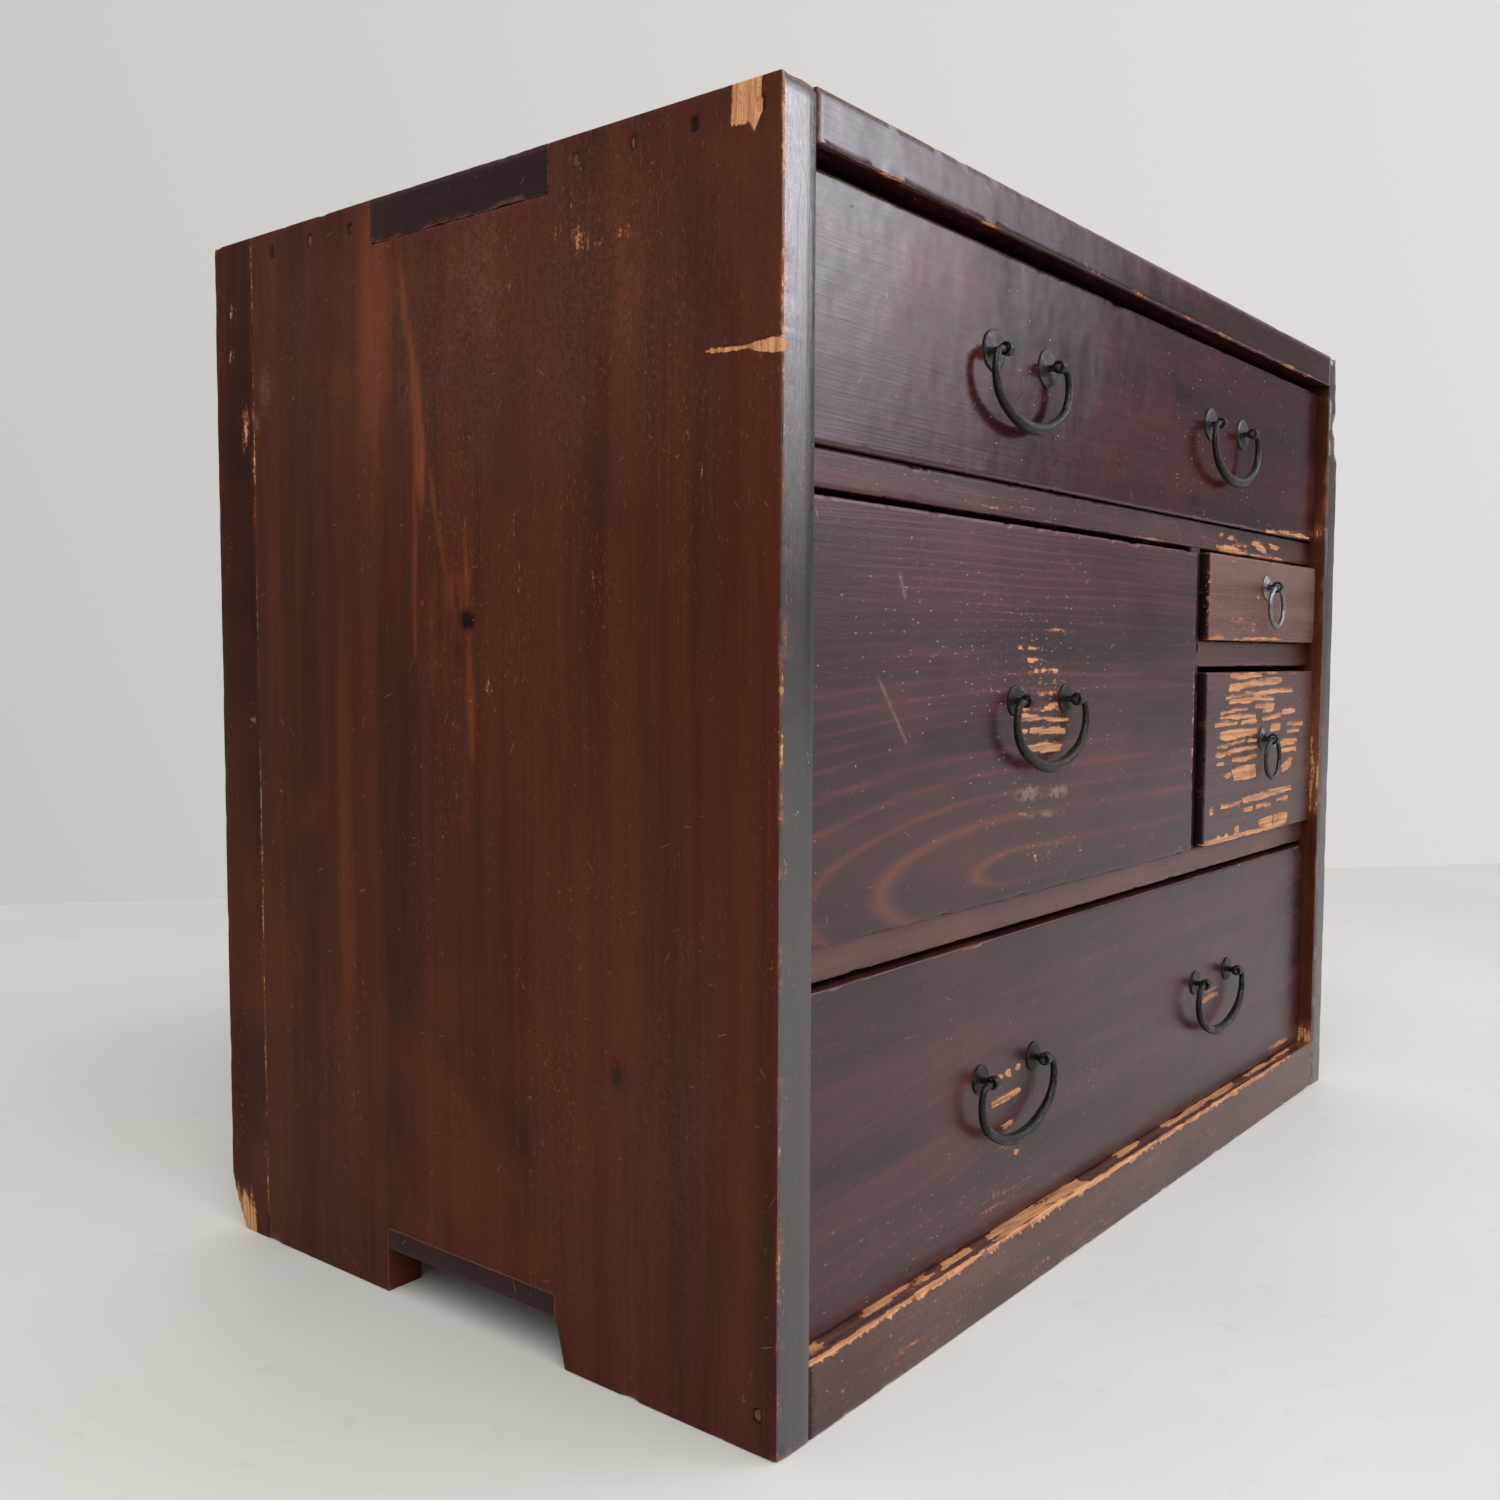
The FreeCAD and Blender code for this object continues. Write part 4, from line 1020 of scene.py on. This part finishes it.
drawerLook = dict(slot="front_lacquer", waver=0.15,
                  wear={pair: (0.4, 0.8, 9) for pair in ("-y+z", "-y-z", "-x-y", "+x-y")})
drawerFronts = dict(  # marks, finish, mesh step, growth rings
    top_drawer=(topMarks, evenLacquer, (1.7, 4, 1.5), plainRings("z", 6.5, 0.02, 5)),
    middle_drawer=(middleMarks, frontLacquer, (1.2, 4, 1.1), tongueRings((-115, 183), 0.2075, 13, 90)),
    small_upper_drawer=(upperSmallMarks, paleLacquer, (1.1, 4, 1.0), plainRings("z", 5, 0.02, 3)),
    small_lower_drawer=(lowerMarks, dimLacquer, (0.8, 4, 0.7), plainRings("z", 4.6, -0.03, 2)),
    bottom_drawer=(bottomMarks, softLacquer, (1.5, 4, 1.3), plainRings("z", 9, -0.12, 8)))
for name, (marks, finish, step, ring) in drawerFronts.items():
    front = name + "_front"
    look = dict(drawerLook, materials=[finish], step=step, ring=ring, cutouts=frontCuts(name))
    boardPiece(front, look, frontPaint(marks, nodeBox(front)[0][1]))
    for part in ("_left_side", "_right_side"):
        cedarBoard(name + part, cedarDeep, plainRings("z", 8, 0.01, 6, "y"))
    cedarBoard(name + "_back", cedarWide, plainRings("z", 8, 0.02, 6))
    cedarBoard(name + "_bottom", cedarWide, plainRings("y", 9, 0.02, 12))
print("drawers done")


# Wooden pegs, their ends a little sunk

pegLook = dict(length=40, radius=2.45, around=20, ringPitch=1.3,
               sunk=(1.4, 2.2, 0.8, 0.6, 0.9, 0.6, 1.2, 0.8))  # one depth for each peg of a side


def pegShape(outer, y, z, sunk):
    # short rod with slightly domed ends: radius over travel, carried along x
    end = pegLook["length"] - sunk
    travel = np.array([0.0, 0.05, 0.2, 0.45, pegLook["length"] / 2, end - 0.2, end])
    radius = pegLook["radius"] * np.array([0.05, 0.5, 0.85, 1.0, 1.0, 1.0, 0.92])
    path = np.stack([outer - np.sign(outer) * (sunk + travel), np.full(7, y), np.full(7, z)], 1)
    return barAlong(path, np.array([0.0, 1.0, 0.0]), np.stack([radius, radius], 1), pegLook["around"])


pegs = [pegShape(outer, y, z, sunk) for outer in (leftX, rightX)
        for (y, z), sunk in zip(pegSpots(), pegLook["sunk"])]
points, faces = gather(pegs)
pegMarks = dict(ring=points[:, 1] / pegLook["ringPitch"], worn=np.zeros(len(points)))
putMesh("wooden_pegs", points, faces, [pegWood], "peg_wood", pegMarks)


# Bails and rings

bailLook = dict(spacing=46, tip=4.5, reach=4, bend=4, flare=20, sideRadius=15, sideAngle=55, thin=1.5,
                thick=2.7, headroom=0.5, around=20, power=2.3, dents=0.06)
ringLook = dict(wire=1.3, around=16, turns=72, waver=0.12)


def arc(start, radius, fromAngle, toAngle, count):
    # arc of a path in the XZ plane; heading 0 points down, 90 to the left, -90 to the right
    a = np.radians(np.linspace(fromAngle, toAngle, count))
    x = start[0] + radius * (np.cos(a) - math.cos(a[0]))
    z = start[1] - radius * (np.sin(a) - math.sin(a[0]))
    return np.stack([x, z], 1)


def bailPiece(node, seed):
    # half bail from its pin to the middle as four runs, mirrored, in the plane of its two eyes
    look = bailLook
    lo, hi = nodeBox(node)
    middle = (lo + hi) / 2
    pivotZ = hi[2] - look["headroom"] - look["thin"]
    tip = np.array([look["spacing"] / 2 - look["tip"], 0])
    pin = np.linspace(tip, tip + [look["tip"] + look["reach"], 0], 14)
    bend = arc(pin[-1], look["bend"], -90, -look["flare"], 12)
    flank = arc(bend[-1], look["sideRadius"], -look["flare"], look["sideAngle"], 16)
    bow = flank[-1][0] / math.cos(math.radians(look["sideAngle"]))
    bottom = arc(flank[-1], bow, look["sideAngle"], 90, 16)
    half = np.concatenate([pin, bend[1:], flank[1:], bottom[1:]])
    even = len(pin) + len(bend) - 1  # points before the bar starts to swell
    swell = np.concatenate([np.zeros(even), np.linspace(0, 1, len(half) - even)])
    radius = look["thin"] + (look["thick"] - look["thin"]) * swell
    radius = np.concatenate([radius, radius[-2::-1]])
    line = np.concatenate([half, half[-2::-1] * [-1, 1]])
    path = np.stack([middle[0] + line[:, 0], np.full(len(line), middle[1]), pivotZ + line[:, 1]], 1)
    size = roundEnds(path, np.stack([radius, radius], 1), look["thin"])
    section = [look[key] for key in ("around", "power", "dents")]
    points, faces = barAlong(path, np.array([0.0, 1.0, 0.0]), size, *section, seed)
    putMesh(node, points, faces, [blackIron], "black_iron")


def ringPiece(node, seed, metal):
    # torus: a round wire carried round a circle that is a little out of true
    look = ringLook
    lo, hi = nodeBox(node)
    middle = (lo + hi) / 2
    turn, roll = fullTurn(look["turns"])[:, None], fullTurn(look["around"])[None]
    radius = (hi - lo)[2] / 2 - look["wire"]
    wire = look["wire"] * (1 - 0.05 * (1 + softNoise(turn * 20, roll, 6, seed)))
    out = radius - look["waver"] * (1 + np.sin(2 * turn + seed)) / 2 + wire * np.cos(roll)
    rings = np.stack([out * np.sin(turn), wire * np.sin(roll), out * np.cos(turn)], -1) + middle
    index = np.arange(out.size).reshape(out.shape)
    nextRow, nextCol = np.roll(index, -1, 0), np.roll(index, -1, 1)
    quads = np.stack([index, nextCol, np.roll(nextRow, -1, 1), nextRow], -1).reshape(-1, 4)
    points = rings.reshape(-1, 3)
    putMesh(node, points, outward(points, [quads]), [metal], "grey_steel")


bails = ("top_left_bail", "top_right_bail", "middle_bail", "bottom_left_bail", "bottom_right_bail")
for seed, node in enumerate(bails):
    bailPiece(node, seed)
ringPiece("small_upper_ring", 1, paleSteel)
ringPiece("small_lower_ring", 2, greySteel)


# Eye posts and the plates under them

postLook = dict(strip=1.25, eyeWidth=4, ringEyeWidth=3, shankWidth=2.2, rootWidth=2.4, clinchWidth=3,
                clinch=8, cornerWidths=(2.6, 2.3), bore=1.58, ringBore=1.9, standoff=6, legGap=0.1,
                legSteps=12, shankSteps=14, eyeSteps=40, tipReach=1.2, around=14, power=5.0, dents=0.05)
plateLook = dict(
    around=40, uneven=0.02,  # profiles are shares of the radius and of the thickness, from front to back
    flat=((0.05, 1), (0.3, 1), (0.6, 0.96), (0.85, 0.88), (0.95, 0.8), (0.99, 0.62), (1, 0.4), (1, 0.12),
          (0.97, 0), (0.5, 0), (0.05, 0)),
    dome=((0.05, 1), (0.3, 0.98), (0.5, 0.94), (0.62, 0.84), (0.74, 0.64), (0.84, 0.4), (0.92, 0.26),
          (0.97, 0.24), (1, 0.18), (1, 0.05), (0.97, 0), (0.5, 0), (0.05, 0)))


def postShape(x, face, back, z, bore, width):
    # split pin: one flat strip from the upper clenched leg, through the front, round the eye and back
    look = postLook
    turnRadius = bore + look["strip"] / 2
    legZ = look["strip"] / 2 + look["legGap"]
    behind = back + look["strip"] / 2
    gapAngle = math.asin(legZ / turnRadius)
    sweep = np.linspace(gapAngle, 2 * math.pi - gapAngle, look["eyeSteps"])
    eye = np.stack([face - look["standoff"] + turnRadius * np.cos(sweep), turnRadius * np.sin(sweep)], 1)
    leg = np.linspace((behind, look["clinch"]), (behind, legZ + 0.8), look["legSteps"])
    corner = np.array([[behind - 0.25, legZ + 0.2], [behind - 0.9, legZ]])  # rounds the bend of the leg
    shank = np.linspace((behind - 1.6, legZ), (eye[0][0] + 0.6, legZ), look["shankSteps"])
    upper = np.concatenate([leg, corner, shank])
    line = np.concatenate([upper, eye, upper[::-1] * [1, -1]])
    wide = np.concatenate([np.full(look["legSteps"], look["clinchWidth"]), look["cornerWidths"],
                           np.linspace(look["shankWidth"], look["rootWidth"], look["shankSteps"])])
    wide = np.concatenate([wide, np.full(look["eyeSteps"], width), wide[::-1]]) / 2
    path = np.stack([np.full(len(line), x), line[:, 0], z + line[:, 1]], 1)
    half = roundEnds(path, np.stack([wide, np.full(len(line), look["strip"] / 2)], 1), look["tipReach"])
    section = [look[key] for key in ("around", "power", "dents")]
    return barAlong(path, np.array([1.0, 0.0, 0.0]), half, *section, int(abs(x)))


def plateShape(x, face, z, radius, thick, kind):
    # a profile turned about the post's axis; the rim of a flat plate is a little out of round
    share, depth = np.array(plateLook[kind]).T[..., None]
    turn = fullTurn(plateLook["around"])
    uneven = plateLook["uneven"] if kind == "flat" else 0
    wave = softNoise(3 * np.cos(turn), 3 * np.sin(turn), 1.4, int(abs(x)))
    out = share * radius * (1 - uneven * (1 + wave))
    front = np.broadcast_to(face - depth * thick, out.shape)
    rings = np.stack([x + out * np.cos(turn), front, z + out * np.sin(turn)], -1)
    return loft(rings, (x, front[0, 0], z), (x, front[-1, 0], z))


jointPlaces = {joint["name"]: np.array(joint["pos_m"]) / mm for joint in frame["joints"] if "pos_m" in joint}
handleOf = dict(  # handles of a drawer, the metal of its plates and that metal's slot
    top_drawer=(("top_left_bail", "top_right_bail"), greySteel, "grey_steel"),
    middle_drawer=(("middle_bail",), blackIron, "black_iron"),
    bottom_drawer=(("bottom_left_bail", "bottom_right_bail"), blackIron, "black_iron"),
    small_upper_drawer=(("small_upper_ring",), paleSteel, "grey_steel"),
    small_lower_drawer=(("small_lower_ring",), greySteel, "grey_steel"))
for name, (handles, metal, slot) in handleOf.items():
    lo, hi = nodeBox(name + "_front")
    plateLo, plateHi = nodeBox(name + "_seat_plates")
    face, thick, radius = lo[1], lo[1] - plateLo[1], (plateHi - plateLo)[2] / 2
    posts, plates = [], []
    for handle in handles:
        x, _, z = jointPlaces[handle + "_swing"]
        if "ring" in handle:
            posts.append(postShape(x, face, hi[1], z, postLook["ringBore"], postLook["ringEyeWidth"]))
            plates.append(plateShape(x, face, z, radius, thick, "dome"))
            continue
        for eyeX in (x - bailLook["spacing"] / 2, x + bailLook["spacing"] / 2):
            posts.append(postShape(eyeX, face, hi[1], z, postLook["bore"], postLook["eyeWidth"]))
            plates.append(plateShape(eyeX, face, z, radius, thick, "flat"))
    putMesh(name + "_eye_posts", *gather(posts), [blackIron], "black_iron")
    putMesh(name + "_seat_plates", *gather(plates), [metal], slot)
print("handles done")


# Floor, light and camera, in metres and degrees

floorLook = dict(near=8.0, far=(0.12, 1.08), farRight=(1.33, 0.06), middle=0.8, wide=8.0,
                 tones=((219, 218, 214), (225, 225, 222), (203, 202, 197)))
windowLook = dict(
    place=(-43.5, 20.3), far=7.0, apart=0.1, tint=(0.96, 0.93, 1.03),
    discs=((17, 0.5), (14.5, 0.7), (12, 0.6), (9, 0.8), (6.5, 1.4), (4.8, 3.4)))  # half angle, brightness
lampLooks = dict(
    front_light=dict(place=(-82, 50), distance=2.5, size=1.5, power=9, tint=(1.0, 0.98, 0.98)),
    fill_light=dict(place=(-140, 42), distance=1.7, size=1.47, power=15, tint=(1.0, 0.99, 0.97)))
worldLook = dict(window=(0.75, -0.55, 0.36), level=0.61, swing=0.21, shade=(-21, 10), shadeReach=20,
                 shadeDepth=0.6, warm=(1.0, 0.98, 0.935, 1.0), cool=(1.0, 0.94, 1.0, 1.0))
cameraLook = dict(place=(-0.6534, -0.4470, 0.2700), turn=(86.297, -0.192, -51.236), lens=34.495, sensor=36,
                  nearest=0.02)
aim = np.array([0, 0, 0.22])  # the lamps look at the middle of the chest


def floorFinish():  # a pale ground with faint clouds and specks
    material, shader, place = newSurface("pale_floor", Specular_IOR_Level=0.3)
    dim, pale, dust = [screen(*tone) for tone in floorLook["tones"]]
    cloud = grain(place, (2.2, 2.2, 2.2), 4)
    speck = grain(place, (60, 60, 60), 3)
    tone = blend(ease(cloud, 0.35, 0.7), dim, pale)
    feed(shader.inputs["Base Color"], blend(ease(speck, 0.6, 0.75, 0, 0.3), tone, dust))
    feed(shader.inputs["Roughness"], ease(cloud, 0.3, 0.7, 0.42, 0.55))
    return material


def addFloor():
    # rectangle on the ground whose far edge is the line from far to farRight, carried past both ends
    far, right = np.array(floorLook["far"]), np.array(floorLook["farRight"])
    run = (right - far) / np.linalg.norm(right - far)
    back = np.array([-run[1], run[0]])
    middle = far + run * floorLook["middle"]
    corners = [middle + s * run * floorLook["wide"] - d * back * floorLook["near"]
               for s, d in ((-1, 1), (1, 1), (1, 0), (-1, 0))]
    mesh = bpy.data.meshes.new("floor")
    mesh.from_pydata([(x, y, 0.0) for x, y in corners], [], [(0, 1, 2, 3)])
    mesh.materials.append(floorFinish())
    show("floor", mesh)


def towards(azimuth, height):  # unit vector for an azimuth from +x and a height over the floor
    a, h = math.radians(azimuth), math.radians(height)
    return np.array([math.cos(a) * math.cos(h), math.sin(a) * math.cos(h), math.sin(h)])


def addLight(name, place, distance, size, power, tint):  # a round lamp that the camera doesn't see
    data = bpy.data.lights.new(name, "AREA")
    data.shape = "DISK"
    data.size = size
    data.energy = power
    data.color = tint
    lamp = show(name, data)
    azimuth, height = np.radians(place)
    lamp.location = towards(*place) * distance + aim
    lamp.rotation_euler = (math.pi / 2 - height, 0, azimuth + math.pi / 2)
    lamp.visible_camera = False


def addWorld():
    # soft room light: brighter towards the window side, with one dimmer patch low in front that only light
    # and reflections meet
    look = worldLook
    world = bpy.data.worlds.new("room")
    world.use_nodes = True
    tree = world.node_tree
    way = addNode(tree, "ShaderNodeTexCoord").outputs["Generated"]

    def facing(target):  # cosine of the angle to a direction
        both = {0: way, 1: tuple(target / np.linalg.norm(target))}
        return addNode(tree, "ShaderNodeVectorMath", both, operation="DOT_PRODUCT").outputs["Value"]

    window = facing(np.array(look["window"]))
    edge = math.cos(math.radians(look["shadeReach"]))
    dim = ease(facing(towards(*look["shade"])), edge, 1, 0, look["shadeDepth"])
    unseen = calc("SUBTRACT", 1, addNode(tree, "ShaderNodeLightPath").outputs["Is Camera Ray"])
    back = tree.nodes["Background"]
    feed(back.inputs["Color"], blend(ease(window, 0.2, 1), look["warm"], look["cool"]))
    level = scaled(window, look["swing"], look["level"])
    feed(back.inputs["Strength"], calc("SUBTRACT", level, times(dim, unseen)))
    bpy.context.scene.world = world


def addCamera():  # at the photograph's viewing angle
    data = bpy.data.cameras.new("camera")
    data.lens = cameraLook["lens"]
    data.sensor_width = cameraLook["sensor"]
    data.clip_start = cameraLook["nearest"]
    eye = show("camera", data)
    eye.location = cameraLook["place"]
    eye.rotation_euler = np.radians(cameraLook["turn"])
    bpy.context.scene.camera = eye


addFloor()
addWorld()
for number, (reach, bright) in enumerate(windowLook["discs"]):  # a soft window, brightest in the middle
    distance = windowLook["far"] + windowLook["apart"] * number
    size = 2 * distance * math.tan(math.radians(reach))
    power = math.pi * size ** 2 * bright
    addLight(f"window_light_{number}", windowLook["place"], distance, size, power, windowLook["tint"])
for name, look in lampLooks.items():
    addLight(name, **look)
addCamera()
bpy.context.scene.view_settings.view_transform = "Standard"
